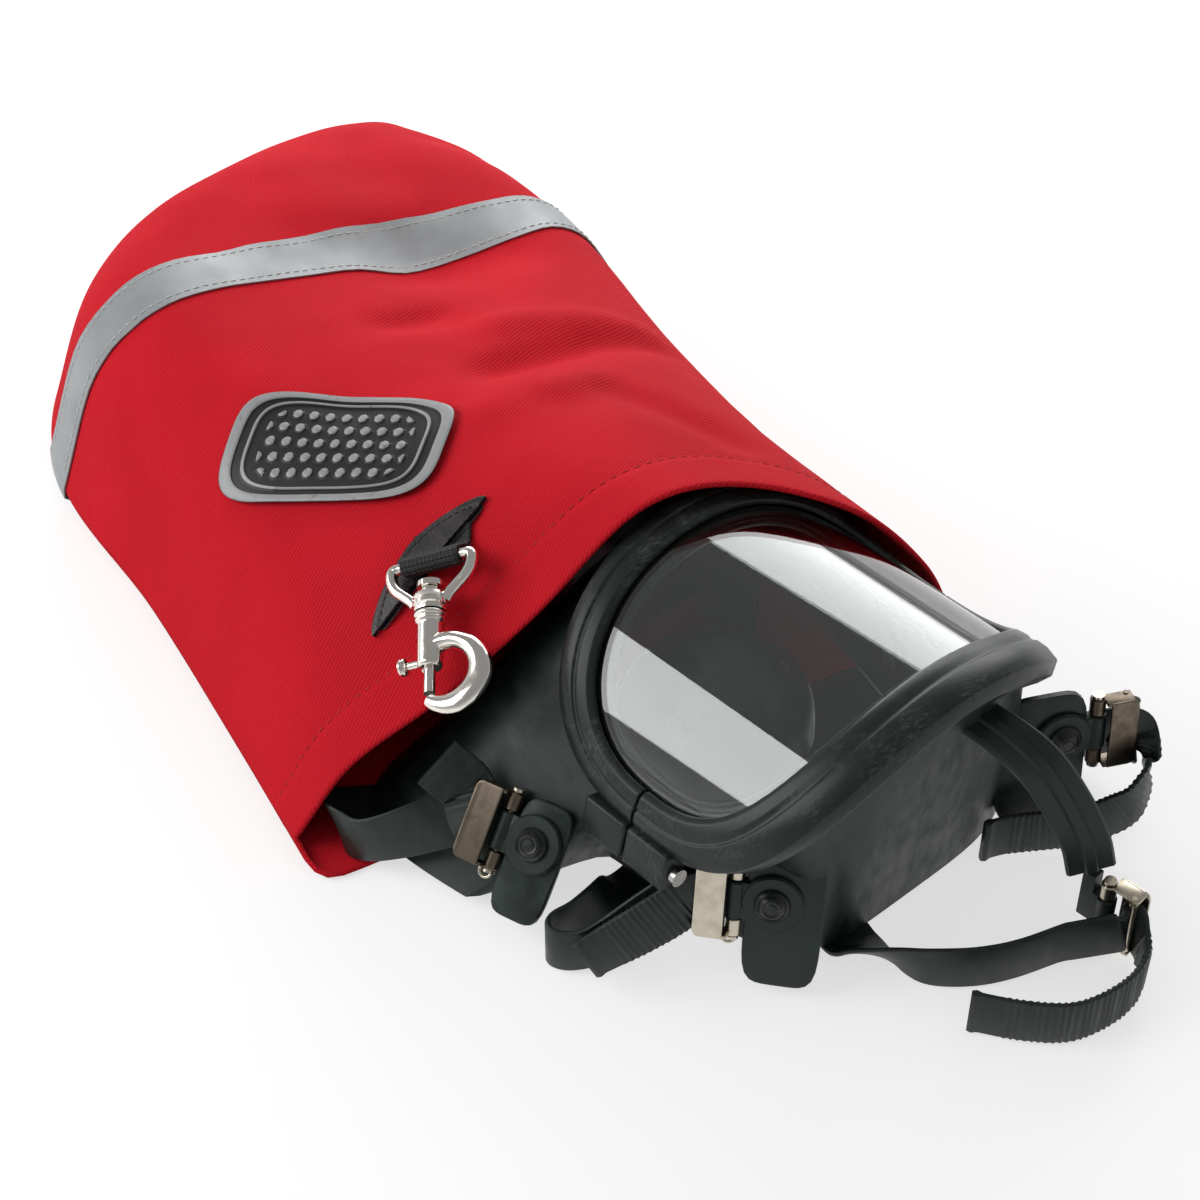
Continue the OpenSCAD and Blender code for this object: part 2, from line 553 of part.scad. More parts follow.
// Thick roots join the jaw tabs to the blank behind them
module lug_root(x0, x1, z0, z1, depth) color("black")
    translate([x0, -depth, z0]) cube([x1 - x0, depth - 2, z1 - z0]);
module near_jaw_lug() on_seat(near_jaw_seat) {
    lug_tab(20, -27, 15);
    lug_root(-20, -6, 7, 13.5, 6);
}
module far_jaw_lug() on_seat(far_jaw_seat) {
    lug_tab(26, -15, 14);
    lug_root(-28, -19, -10, 10, 7);
}
lug_seats = [near_temple_seat, far_temple_seat, near_jaw_seat, far_jaw_seat];
module lug_studs() color("black") for (seat = lug_seats) on_seat(seat) lug_stud();
module buckle_pins() color("gray") for (seat = concat([forehead_seat], lug_seats)) on_seat(seat) buckle_pin();

// The tongue: rows of a place and the level direction of its width
tongue_w = 17;
tongue_t = 3;
tongue_route = [[109, 63.5, 86, -0.3, 0.95, 0], [120, 69.5, 82.5, -0.2, 0.98, 0.05],
    [130, 77.5, 73, 0.05, 0.99, 0.05], [138, 84.5, 58, 0.25, 0.96, 0], [143.5, 89.3, 44, 0.36, 0.92, 0],
    [146.3, 91.6, 31.6, 0.4, 0.9, 0]];
module forehead_tongue() color("black") {
    place() ribbon(eased(tongue_route, 3), tongue_w, tongue_t);
    on_seat(forehead_seat) {
        knuckle();
        translate([-9.5, -2.4, -knuckle_half]) cube([4, 4.8, 2 * knuckle_half + 9]);
    }
}
// The pad behind the head, where the straps meet
pad_at = [46, 22, 0.5];
pad_r = 26;
module head_pad() color("black") place() translate(pad_at) difference() {
    cylinder(r = pad_r, h = 2.2);
    for (a = [0 : 72 : 359]) rotate([0, 0, a]) translate([pad_r * 0.5, 0, -1]) cylinder(r = 4, h = 5);
}

// Inside the mask: the nose cup and its valves, the inlet port with its valve, the exhale valve
cup_at = [-44, 0, -14];
cup_r = 36;
cup_h = 44;
module cup_profile(r, h) intersection() {
    square([r, h]);
    union() {
        translate([r - 14, 0]) square([14, 10]);
        translate([r - 14, 10]) circle(14);
        polygon([[0, 0], [r - 14, 0], [r, 10], [r - 7, 22], [12, h - 4], [0, h]]);
    }
}
module on_cup_side(s) rotate([0, 0, s * 62]) translate([cup_r - 11, 0, 24]) rotate([0, 50, 0]) children();
module nose_cup() color("dimgray") on_mask() translate(cup_at) difference() {
    rotate_extrude() cup_profile(cup_r, cup_h);
    translate([0, 0, -2.2]) rotate_extrude() cup_profile(cup_r - 2.4, cup_h - 0.4);
    for (s = [-1, 1]) on_cup_side(s) cylinder(d = 14.2, h = 24, center = true);
}
module nose_cup_valves() color("tan") on_mask() translate(cup_at)
    for (s = [-1, 1]) on_cup_side(s) rod_z(0.5, 2, 14);

// The port's frame: +Z out of the chin of the blank
port_at = [-95.6, 0, 28.7];
port_tilt = -60;
port_bore = 34;
exhale_bore = 13;
module on_port() on_mask() translate(port_at) rotate([0, port_tilt, 0]) children();
module pipe(d_out, d_in, z0, z1) difference() {
    rod_z(z0, z1, d_out);
    rod_z(z0 - 1, z1 + 1, d_in);
}
module inlet_port() color("dimgray") on_port() {
    pipe(40, port_bore, 0.4, 15);
    pipe(43.6, 39, 0.4, 3.4);
    for (a = [0, 90]) rotate([0, 0, a]) translate([-17.2, -1, 0.4]) cube([34.4, 2, 2]);
}
module port_ring() color("silver") on_port() pipe(43.6, 40.2, 3.6, 9.4);
module inlet_valve() color("tan") on_port() rod_z(2.5, 3.3, 33.4);
module speech_diaphragm() color("silver") on_port() rod_z(9, 9.5, 33.6);
exhale_at = [34, 0, -1.6];
module on_exhale() on_port() translate(exhale_at) children();
module exhale_seat() color("dimgray") on_exhale() pipe(20, exhale_bore, 0, 4);
module exhale_disc() color("tan") on_exhale() rod_z(4.1, 5, 16);
module exhale_spring() color("gray") on_exhale() rotate([0, -90, 0]) coil(valve_coil);
module exhale_cover() color("dimgray") on_exhale() difference() {
    rod_z(4.2, 13, 23);
    rod_z(3, 10.8, 20.4);
    for (a = [0 : 60 : 359]) rotate([0, 0, a]) translate([7, 0, 0]) rod_z(10, 14, 3.6);
}

bag_shell();
reflective_tape();
badge_patch();
leather_tab();
webbing_loop();
snap_eye();
hook_body();
swivel_rivet();
hook_bolt();
bolt_knob();
bolt_spring();
lens();
lens_gasket();
bezel_upper();
bezel_lower();
bezel_screws();
face_blank();
forehead_tongue();
near_temple_lug();
far_temple_lug();
near_jaw_lug();
far_jaw_lug();
lug_studs();
buckle_pins();
on_seat(forehead_seat) buckle_frame();  // forehead_buckle
on_seat(near_temple_seat) buckle_frame();  // near_temple_buckle
on_seat(far_temple_seat) buckle_frame();  // far_temple_buckle
on_seat(near_jaw_seat) buckle_frame();  // near_jaw_buckle
on_seat(far_jaw_seat) buckle_frame();  // far_jaw_buckle
on_seat(forehead_seat) buckle_roller();  // forehead_roller
on_seat(near_temple_seat) buckle_roller();  // near_temple_roller
on_seat(far_temple_seat) buckle_roller();  // far_temple_roller
on_seat(near_jaw_seat) buckle_roller();  // near_jaw_roller
on_seat(far_jaw_seat) buckle_roller();  // far_jaw_roller
forehead_strap();
near_temple_strap();
far_temple_strap();
near_jaw_strap();
far_jaw_strap();
forehead_tail();
near_temple_tail();
far_temple_tail();
near_jaw_tail();
far_jaw_tail();
head_pad();
nose_cup();
nose_cup_valves();
inlet_port();
port_ring();
inlet_valve();
speech_diaphragm();
exhale_seat();
exhale_disc();
exhale_spring();
exhale_cover();
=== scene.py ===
"""Dresses a full-face mask that lies half out of its red carry bag, with the bag's swivel snap hook.

Sizes in the classes are millimetres, measured from the middle of the bag's mouth: X runs out of the mouth,
Y to the far side and Z up. at() turns such a place into metres in the frame that the parts share.
"""

import json
import logging
import math
from collections.abc import Iterator, Sequence
from contextlib import contextmanager
from dataclasses import dataclass
from enum import StrEnum
from typing import Any, ClassVar

import bpy
import numpy as np
from mathutils import Matrix, Vector, noise

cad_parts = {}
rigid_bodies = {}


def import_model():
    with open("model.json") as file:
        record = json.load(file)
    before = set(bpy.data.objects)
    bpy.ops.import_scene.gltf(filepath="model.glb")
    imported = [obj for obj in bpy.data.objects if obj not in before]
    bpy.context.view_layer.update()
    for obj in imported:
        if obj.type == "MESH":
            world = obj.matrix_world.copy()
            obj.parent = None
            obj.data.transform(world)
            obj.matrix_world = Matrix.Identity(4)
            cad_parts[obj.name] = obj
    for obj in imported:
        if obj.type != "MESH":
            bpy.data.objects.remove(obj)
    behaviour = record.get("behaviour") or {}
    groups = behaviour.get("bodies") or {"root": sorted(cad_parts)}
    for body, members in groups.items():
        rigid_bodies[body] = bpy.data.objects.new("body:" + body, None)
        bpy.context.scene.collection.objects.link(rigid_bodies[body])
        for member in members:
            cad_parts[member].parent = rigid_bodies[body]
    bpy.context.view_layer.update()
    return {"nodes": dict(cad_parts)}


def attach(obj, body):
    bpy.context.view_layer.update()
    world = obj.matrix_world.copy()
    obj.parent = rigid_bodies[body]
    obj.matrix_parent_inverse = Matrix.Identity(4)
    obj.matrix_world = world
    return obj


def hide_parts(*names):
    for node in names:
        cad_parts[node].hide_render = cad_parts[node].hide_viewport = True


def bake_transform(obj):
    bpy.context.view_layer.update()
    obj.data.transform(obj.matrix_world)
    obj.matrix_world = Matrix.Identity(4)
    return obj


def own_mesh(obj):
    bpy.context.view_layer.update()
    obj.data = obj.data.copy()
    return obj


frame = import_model()
LOG = logging.getLogger("mask_in_bag")

MM = 0.001
# Place of the middle of the bag's mouth in the shared frame, in millimetres
MOUTH = np.array((90.22, -5.21, 0.0))
# Points nearer than this, in metres, are merged
MERGE = 1e-6
# Where the studs stand on the buckles' seats, in millimetres
STUD_X = -12.5

Piece = bpy.types.Object
Socket = bpy.types.NodeSocket
Colour = tuple[float, float, float, float]


class Body(StrEnum):
    """The bodies that pieces ride on."""

    BAG = "bag"
    EYE = "snap_eye"
    HOOK = "hook"
    BOLT = "bolt"
    MASK = "mask"


def at(place: Sequence[float]) -> np.ndarray:
    """Turns a place from the mouth, in millimetres, into metres in the shared frame.

    Args:
        place: One place, or an array of places, in millimetres.

    Returns:
        The same places in metres.
    """
    return (np.asarray(place, float) + MOUTH) * MM


def unit(v: np.ndarray) -> np.ndarray:
    """Gives vectors, along the last axis, their unit length."""
    return v / np.linalg.norm(v, axis=-1, keepdims=True)


def shift(x: float, y: float, z: float) -> Matrix:
    """Gives a shift in millimetres."""
    return Matrix.Translation((x * MM, y * MM, z * MM))


def spun(degrees: float, axis: str) -> Matrix:
    """Gives a turn round an axis, in degrees."""
    return Matrix.Rotation(math.radians(degrees), 4, axis)


def placed(x: Sequence[float], y: Sequence[float], z: Sequence[float], place: Sequence[float]) -> Matrix:
    """Gives the matrix of a place, in metres, from its three axes."""
    return Matrix((*np.stack([x, y, z, place], axis=1).tolist(), (0.0, 0.0, 0.0, 1.0)))


def ease(t: np.ndarray | float) -> np.ndarray | float:
    """Runs smoothly from 0 to 1 as t does."""
    c = np.clip(t, 0.0, 1.0)
    return c * c * (3 - 2 * c)


def smooth_at(places: Sequence[float], values: np.ndarray, x: float) -> np.ndarray:
    """Reads a smooth curve through values that stand at rising places.

    Args:
        places: Where the values stand.
        values: One row of numbers for each place.
        x: The place to read.

    Returns:
        The row of numbers at x.
    """
    last = len(places) - 1
    i = int(np.clip(np.searchsorted(places, x, side="right") - 1, 0, last - 1))

    def slope(k: int) -> np.ndarray:
        """Gives the slope of the curve at one of its places."""
        a, b = max(k - 1, 0), min(k + 1, last)
        return (values[b] - values[a]) / (places[b] - places[a])

    d = places[i + 1] - places[i]
    t = (x - places[i]) / d
    t2, t3 = t * t, t * t * t
    return (
        values[i] * (2 * t3 - 3 * t2 + 1)
        + slope(i) * d * (t3 - 2 * t2 + t)
        + values[i + 1] * (3 * t2 - 2 * t3)
        + slope(i + 1) * d * (t3 - t2)
    )


# Modelling by hand


def pick(piece: Piece) -> None:
    """Makes a piece the only one selected, and the active one.

    Args:
        piece: The piece.
    """
    bpy.ops.object.select_all(action="DESELECT")
    piece.select_set(True)
    bpy.context.view_layer.objects.active = piece


@contextmanager
def editing(piece: Piece) -> Iterator[None]:
    """Opens a piece in edit mode with everything selected, and closes it again.

    Args:
        piece: The piece to edit.
    """
    pick(piece)
    bpy.ops.object.mode_set(mode="EDIT")
    bpy.ops.mesh.select_all(action="SELECT")
    yield
    bpy.ops.object.mode_set(mode="OBJECT")


def named(name: str) -> Piece:
    """Names the active piece, and its mesh.

    Args:
        name: The name.

    Returns:
        The piece.
    """
    piece = bpy.context.view_layer.objects.active
    piece.name = name
    piece.data.name = name
    return piece


def refine(piece: Piece, kind: str, **settings: Any) -> Piece:
    """Adds a modifier to a piece and applies it.

    Args:
        piece: The piece to refine.
        kind: The modifier's type.
        **settings: The modifier's own settings.

    Returns:
        The same piece.
    """
    pick(piece)
    modifier = piece.modifiers.new(kind.lower(), kind)
    for key, value in settings.items():
        setattr(modifier, key, value)
    bpy.ops.object.modifier_apply(modifier=modifier.name)
    return piece


def subdivide(piece: Piece, levels: int = 1) -> Piece:
    """Rounds a piece with a subdivision surface."""
    return refine(piece, "SUBSURF", levels=levels, render_levels=levels)


def round_edges(piece: Piece, width: float, segments: int = 2, angle: float = 30.0) -> Piece:
    """Rounds the edges of a piece that are sharper than an angle in degrees, by a width in millimetres."""
    limit = {"limit_method": "ANGLE", "angle_limit": math.radians(angle)}
    return refine(piece, "BEVEL", width=width * MM, segments=segments, **limit)


def smooth(piece: Piece, angle: float = 40.0) -> Piece:
    """Shades a piece smooth.

    Args:
        piece: The piece.
        angle: Edges sharper than this stay sharp, in degrees.

    Returns:
        The same piece.
    """
    pick(piece)
    bpy.ops.object.shade_smooth_by_angle(angle=math.radians(angle))
    return piece


def merge_points(piece: Piece) -> Piece:
    """Merges the doubled points of a piece.

    Args:
        piece: The piece.

    Returns:
        The same piece.
    """
    with editing(piece):
        bpy.ops.mesh.remove_doubles(threshold=MERGE)
    return piece


def close_up(piece: Piece, ends: bool = False) -> Piece:
    """Merges doubled points, fills open ends if asked and turns all faces outwards.

    Args:
        piece: A piece that is closed once this is done.
        ends: Whether open ends are filled.

    Returns:
        The same piece.
    """
    with editing(piece):
        bpy.ops.mesh.remove_doubles(threshold=MERGE)
        if ends:
            bpy.ops.mesh.fill_holes(sides=0)
        bpy.ops.mesh.normals_make_consistent(inside=False)
    return piece


def move(piece: Piece, place: Matrix) -> Piece:
    """Puts a piece in its place for good, and keeps its faces outwards if the place is mirrored.

    Args:
        piece: The piece.
        place: Where it goes, seen from where it is.

    Returns:
        The same piece.
    """
    piece.data.transform(place)
    if place.determinant() < 0:
        piece.data.flip_normals()
    return piece


def copy_of(piece: Piece, name: str, place: Matrix) -> Piece:
    """Copies a piece with a mesh of its own.

    Args:
        piece: The piece that was modelled once.
        name: The copy's name.
        place: Where the copy goes, seen from the piece.

    Returns:
        The copy.
    """
    made = bpy.data.objects.new(name, piece.data.copy())
    bpy.context.scene.collection.objects.link(made)
    return move(made, place)


def joined(name: str, pieces: Sequence[Piece]) -> Piece:
    """Joins pieces into one.

    Args:
        name: The new piece's name.
        pieces: The pieces.

    Returns:
        The new piece.
    """
    pick(pieces[0])
    for piece in pieces:
        piece.select_set(True)
    if len(pieces) > 1:
        bpy.ops.object.join()
    return named(name)


def cut(piece: Piece, cutter: Piece) -> Piece:
    """Cuts one piece out of another and removes the cutter.

    Args:
        piece: The piece that is cut.
        cutter: What is taken out of it.

    Returns:
        The piece that is cut.
    """
    refine(piece, "BOOLEAN", operation="DIFFERENCE", object=cutter, solver="EXACT")
    bpy.data.objects.remove(cutter)
    return piece


def block(name: str, low: Sequence[float], high: Sequence[float], edge: float, segments: int = 2) -> Piece:
    """Models a block between two corners, with rounded edges.

    Args:
        name: The block's name.
        low: Its lowest corner, in millimetres.
        high: Its highest corner, in millimetres.
        edge: The width of its rounded edges, in millimetres.
        segments: The steps of the rounding.

    Returns:
        The block, in metres.
    """
    lo, hi = np.array(low) * MM, np.array(high) * MM
    bpy.ops.object.select_all(action="DESELECT")
    bpy.ops.mesh.primitive_cube_add(size=1.0)
    made = named(name)
    middle = Matrix.Translation(Vector((lo + hi) / 2))
    made.data.transform(middle @ Matrix.Diagonal((*(hi - lo), 1.0)))
    with editing(made):
        bpy.ops.mesh.bevel(offset=edge * MM, segments=segments, affect="EDGES")
    return made


def turned(name: str, profile: Sequence[tuple[float, float]], steps: int = 40) -> Piece:
    """Turns a profile round the Z axis, as on a lathe.

    Args:
        name: The piece's name.
        profile: Pairs of a radius and a height, in millimetres, in order along the outline.
        steps: The faces round the axis.

    Returns:
        The closed piece, in metres.
    """
    bpy.ops.object.select_all(action="DESELECT")
    bpy.ops.mesh.primitive_plane_add(size=MM)
    made = named(name)
    with editing(made):
        bpy.ops.mesh.merge(type="CENTER")
    made.data.vertices[0].co = (profile[0][0] * MM, 0.0, profile[0][1] * MM)
    with editing(made):
        for before, after in zip(profile, profile[1:]):
            step = ((after[0] - before[0]) * MM, 0.0, (after[1] - before[1]) * MM)
            bpy.ops.mesh.extrude_region_move(TRANSFORM_OT_translate={"value": step})
        bpy.ops.mesh.select_all(action="SELECT")
        bpy.ops.mesh.spin(steps=steps, angle=math.tau, center=(0, 0, 0), axis=(0, 0, 1))
    return close_up(made)


def bore(piece: Piece, place: Matrix, radius: float, low: float, high: float, steps: int) -> Piece:
    """Bores a round hole into a piece.

    Args:
        piece: The piece.
        place: The hole's place; the hole runs along its Z.
        radius: The hole's radius, in millimetres.
        low: Where it starts along Z.
        high: Where it ends.
        steps: The faces round it.

    Returns:
        The same piece.
    """
    cutter = turned("bore", [(0, low), (radius, low), (radius, high), (0, high)], steps)
    return cut(piece, move(cutter, place))


def ring_profile(
    inner: float, outer: float, low: float, high: float, edge: float
) -> list[tuple[float, float]]:
    """Gives the closed profile of a turned ring with chamfered outer edges.

    Args:
        inner: The radius of its hole, in millimetres.
        outer: Its own radius.
        low: Where it starts along the axis.
        high: Where it ends.
        edge: The width of the chamfers.

    Returns:
        Pairs of a radius and a height.
    """
    return [
        (inner, low), (outer - edge, low), (outer, low + edge), (outer, high - edge), (outer - edge, high),
        (inner, high), (inner, low),
    ]


def lofted(
    name: str, rows: np.ndarray, around: bool = False, along: bool = False, raised: np.ndarray | None = None
) -> Piece:
    """Draws a grid over rows of places, and lays its UV map out in metres along them.

    Args:
        name: The piece's name.
        rows: An array of rows by columns by three, in metres.
        around: Whether each row closes on itself.
        along: Whether the last row meets the first.
        raised: How raised each place is, from 0 to 1, for finishes that paint raised parts.

    Returns:
        The surface, with its seams still open.
    """
    if around:
        rows = np.concatenate([rows, rows[:, :1]], axis=1)
    if along:
        rows = np.concatenate([rows, rows[:1]], axis=0)
    n, m = rows.shape[:2]
    bpy.ops.object.select_all(action="DESELECT")
    bpy.ops.mesh.primitive_grid_add(x_subdivisions=m - 1, y_subdivisions=n - 1, size=1.0)
    made = named(name)
    mesh = made.data
    flat = np.empty(len(mesh.vertices) * 3, np.float32)
    mesh.vertices.foreach_get("co", flat)
    flat = flat.reshape(-1, 3)
    col = np.rint((flat[:, 0] + 0.5) * (m - 1)).astype(int)
    row = np.rint((flat[:, 1] + 0.5) * (n - 1)).astype(int)
    mesh.vertices.foreach_set("co", rows[row, col].astype(np.float32).ravel())
    if raised is not None:
        level = mesh.attributes.new("raised", "FLOAT", "POINT")
        level.data.foreach_set("value", raised[row, col].astype(np.float32))
    across = np.zeros((n, m))
    across[:, 1:] = np.cumsum(np.linalg.norm(np.diff(rows, axis=1), axis=2), axis=1)
    down = np.zeros((n, m))
    down[1:] = np.cumsum(np.linalg.norm(np.diff(rows, axis=0), axis=2), axis=0)
    loops = np.empty(len(mesh.loops), np.int32)
    mesh.loops.foreach_get("vertex_index", loops)
    uv = np.stack([across[row, col], down[row, col]], axis=1)[loops]
    mesh.uv_layers.active.data.foreach_set("uv", uv.astype(np.float32).ravel())
    mesh.update()
    return made


def tube(name: str, rings: np.ndarray) -> Piece:
    """Draws a tube over rings of places in metres, and closes its ends."""
    return close_up(lofted(name, rings, around=True), ends=True)


def repeated(name: str, pattern: Piece, places: Sequence[Matrix]) -> Piece:
    """Repeats one small piece at many places, as one mesh, and removes the pattern.

    Args:
        name: The new piece's name.
        pattern: The piece that was modelled once.
        places: One matrix for each copy.

    Returns:
        The copies as one piece.
    """
    source = np.array([v.co for v in pattern.data.vertices])
    faces = [tuple(p.vertices) for p in pattern.data.polygons]
    points: list[np.ndarray] = []
    shapes: list[tuple[int, ...]] = []
    for place in places:
        turn = np.array(place)
        base = len(points) * len(source)
        points.append(source @ turn[:3, :3].T + turn[:3, 3])
        shapes.extend(tuple(base + i for i in face) for face in faces)
    mesh = bpy.data.meshes.new(name)
    mesh.from_pydata(np.concatenate(points).tolist(), [], shapes)
    made = bpy.data.objects.new(name, mesh)
    bpy.context.scene.collection.objects.link(made)
    bpy.data.objects.remove(pattern)
    return smooth(made, 60)


def axes_at(place: Sequence[float], x: Sequence[float], z: Sequence[float]) -> Matrix:
    """Gives the matrix of a place with its X along one direction and its Z near another.

    Args:
        place: The place, in metres.
        x: The direction of X.
        z: The direction that Z is near.

    Returns:
        The matrix.
    """
    ex = unit(np.asarray(x, float))
    ey = unit(np.cross(z, ex))
    return placed(ex, ey, np.cross(ex, ey), place)


def resampled(points: np.ndarray, step: float) -> np.ndarray:
    """Spaces the points of a path evenly.

    Args:
        points: The path's points, with any further numbers beside each place.
        step: The spacing, in the unit of the places.

    Returns:
        The evenly spaced points.
    """
    lengths = np.linalg.norm(np.diff(points[:, :3], axis=0), axis=1)
    run = np.concatenate([[0.0], np.cumsum(lengths)])
    count = max(int(round(run[-1] / step)), 2)
    wanted = np.linspace(0.0, run[-1], count + 1)
    return np.stack([np.interp(wanted, run, points[:, k]) for k in range(points.shape[1])], axis=1)


def stitches(name: str, line: np.ndarray, length: float, gap: float, thick: float) -> Piece:
    """Sews a row of stitches along a line.

    Args:
        name: The row's name.
        line: The line's points and the surface's normals beside them, in metres.
        length: The length of a stitch, in millimetres.
        gap: The gap between stitches, in millimetres.
        thick: The thread's thickness, in millimetres.

    Returns:
        The stitches as one piece.
    """
    bpy.ops.object.select_all(action="DESELECT")
    bpy.ops.mesh.primitive_uv_sphere_add(segments=6, ring_count=4, radius=0.5)
    pattern = named(name + "_one")
    pattern.data.transform(Matrix.Diagonal((length * MM, thick * MM, thick * MM, 1.0)))
    path = resampled(line, (length + gap) * MM)
    places = [axes_at(p[:3], q[:3] - p[:3], p[3:6]) for p, q in zip(path, path[1:])]
    return repeated(name, pattern, places)


# Finishes


class Nodes:
    """Lays out the nodes of a shader."""

    def __init__(self, tree: bpy.types.NodeTree) -> None:
        """Starts with the nodes that a tree has."""
        self.tree = tree

    def enter(self, socket: Socket, value: Any) -> None:
        """Links an input to a socket, or sets it to any other value.

        Args:
            socket: The input.
            value: What goes into it.
        """
        if isinstance(value, Socket):
            self.tree.links.new(value, socket)
        else:
            socket.default_value = value

    def add(self, kind: str, inputs: dict[Any, Any] | None = None, **settings: Any) -> bpy.types.Node:
        """Adds a node.

        Args:
            kind: The node's type, without its usual prefix.
            inputs: What goes into its inputs.
            **settings: The node's own settings.

        Returns:
            The node.
        """
        made = self.tree.nodes.new("ShaderNode" + kind)
        for key, value in settings.items():
            setattr(made, key, value)
        for key, value in (inputs or {}).items():
            self.enter(made.inputs[key], value)
        return made

    def fit(self, value: Socket, low: float, high: float, to_low: float, to_high: float) -> Socket:
        """Maps a range of values to another, and holds it at both ends."""
        inputs = {"Value": value, "From Min": low, "From Max": high, "To Min": to_low, "To Max": to_high}
        return self.add("MapRange", inputs).outputs[0]

    def sums(self, how: str, a: Socket | float, b: Socket | float) -> Socket:
        """Combines two values."""
        return self.add("Math", {0: a, 1: b}, operation=how).outputs[0]

    def mix(self, factor: Socket, a: Colour | Socket, b: Colour | Socket) -> Socket:
        """Mixes two colours."""
        return self.add("Mix", {0: factor, 6: a, 7: b}, data_type="RGBA").outputs[2]


class Recipe(Nodes):
    """Lays out the nodes of one material."""

    def __init__(self, name: str) -> None:
        """Starts a material with a bare surface shader.

        Args:
            name: The material's name.
        """
        self.material = bpy.data.materials.new(name)
        self.material.use_nodes = True
        super().__init__(self.material.node_tree)
        self.surface = self.tree.nodes["Principled BSDF"]

    def coordinates(
        self, kind: str = "Object", stretch: Sequence[float] = (1, 1, 1), turn: float = 0.0
    ) -> Socket:
        """Gives coordinates that are stretched, and turned in their plane.

        Args:
            kind: The kind of coordinates.
            stretch: The scale along each axis.
            turn: The turn, in degrees.

        Returns:
            The coordinates.
        """
        source = self.add("TexCoord").outputs[kind]
        inputs = {"Vector": source, "Scale": stretch, "Rotation": (0, 0, math.radians(turn))}
        return self.add("Mapping", inputs).outputs[0]

    def noise(self, vector: Socket, size: float, detail: float = 3.0, rough: float = 0.55) -> Socket:
        """Gives a noise whose patches are about a size in millimetres."""
        inputs = {"Vector": vector, "Scale": 1000.0 / size, "Detail": detail, "Roughness": rough}
        return self.add("TexNoise", inputs).outputs["Fac"]

    def bands(self, vector: Socket, pitch: float) -> Socket:
        """Gives waves along X with a pitch in millimetres."""
        waves = {"Vector": vector, "Scale": math.tau / 20.0 / (pitch * MM)}
        return self.add("TexWave", waves, wave_type="BANDS", bands_direction="X").outputs["Fac"]

    def bump(self, height: Socket, depth: float, strength: float = 1.0) -> None:
        """Gives the surface a relief with a depth in millimetres."""
        inputs = {"Height": height, "Distance": depth * MM, "Strength": strength}
        self.set("Normal", self.add("Bump", inputs).outputs[0])

    def set(self, key: str, value: Any) -> None:
        """Sets an input of the surface shader, or links it to a socket."""
        self.enter(self.surface.inputs[key], value)


def shaded(colour: Colour, by: float, more: float = 0.0) -> Colour:
    """Gives a darker or paler shade of a colour."""
    return (*(c * by + more for c in colour[:3]), 1.0)


@dataclass(frozen=True)
class Finish:
    """A finish with a name; each kind of finish lays out its own nodes."""

    name: str

    def lay(self, recipe: Recipe) -> None:
        """Lays the finish's nodes out.

        Args:
            recipe: The nodes of its material.
        """
        raise NotImplementedError

    def material(self) -> bpy.types.Material:
        """Gives the finish's material, which is made once.

        Returns:
            The material.
        """
        name = f"{self.name}_finish"
        known = bpy.data.materials.get(name)
        if known is not None:
            return known
        recipe = Recipe(name)
        self.lay(recipe)
        return recipe.material


@dataclass(frozen=True)
class Canvas(Finish):
    """Dyed canvas in a fine twill weave, with a slightly paler nap."""

    colour: Colour
    shade: Colour
    pitch: float = 1.3

    def lay(self, recipe: Recipe) -> None:
        """Lays the finish's nodes out.

        Args:
            recipe: The nodes of its material.
        """
        twill = recipe.bands(recipe.coordinates("UV", turn=58.0), self.pitch)
        thread = recipe.bands(recipe.coordinates("UV", turn=-32.0), self.pitch * 0.62)
        weave = recipe.sums("MULTIPLY", twill, 0.65)
        weave = recipe.sums("ADD", weave, recipe.sums("MULTIPLY", thread, 0.35))
        place = recipe.coordinates()
        fibre = recipe.noise(place, 0.9, 4.0)
        faded = recipe.noise(place, 46.0, 2.0)
        dark = recipe.fit(weave, 0.15, 0.85, 0.5, 0.0)
        patchy = recipe.sums("ADD", dark, recipe.fit(faded, 0.35, 0.7, 0.16, -0.06))
        patchy = recipe.sums("ADD", patchy, recipe.fit(fibre, 0.3, 0.7, 0.14, -0.1))
        recipe.set("Base Color", recipe.mix(patchy, self.colour, self.shade))
        recipe.set("Roughness", recipe.fit(fibre, 0.3, 0.7, 0.78, 0.92))
        recipe.set("Specular IOR Level", 0.12)
        recipe.bump(recipe.sums("ADD", weave, recipe.sums("MULTIPLY", fibre, 0.4)), 0.22, 0.8)


@dataclass(frozen=True)
class Beaded(Finish):
    """Silver-grey reflective tape with fine glass beads."""

    colour: Colour

    def lay(self, recipe: Recipe) -> None:
        """Lays the finish's nodes out.

        Args:
            recipe: The nodes of its material.
        """
        place = recipe.coordinates()
        beads = recipe.add("TexVoronoi", {"Vector": place, "Scale": 2600.0}).outputs["Distance"]
        soiled = recipe.noise(place, 24.0, 4.0)
        dull = shaded(self.colour, 0.82)
        recipe.set("Base Color", recipe.mix(recipe.fit(soiled, 0.35, 0.7, 0.0, 1.0), self.colour, dull))
        recipe.set("Roughness", recipe.fit(soiled, 0.3, 0.7, 0.42, 0.56))
        recipe.set("Metallic", 0.15)
        recipe.bump(beads, 0.06, 0.6)


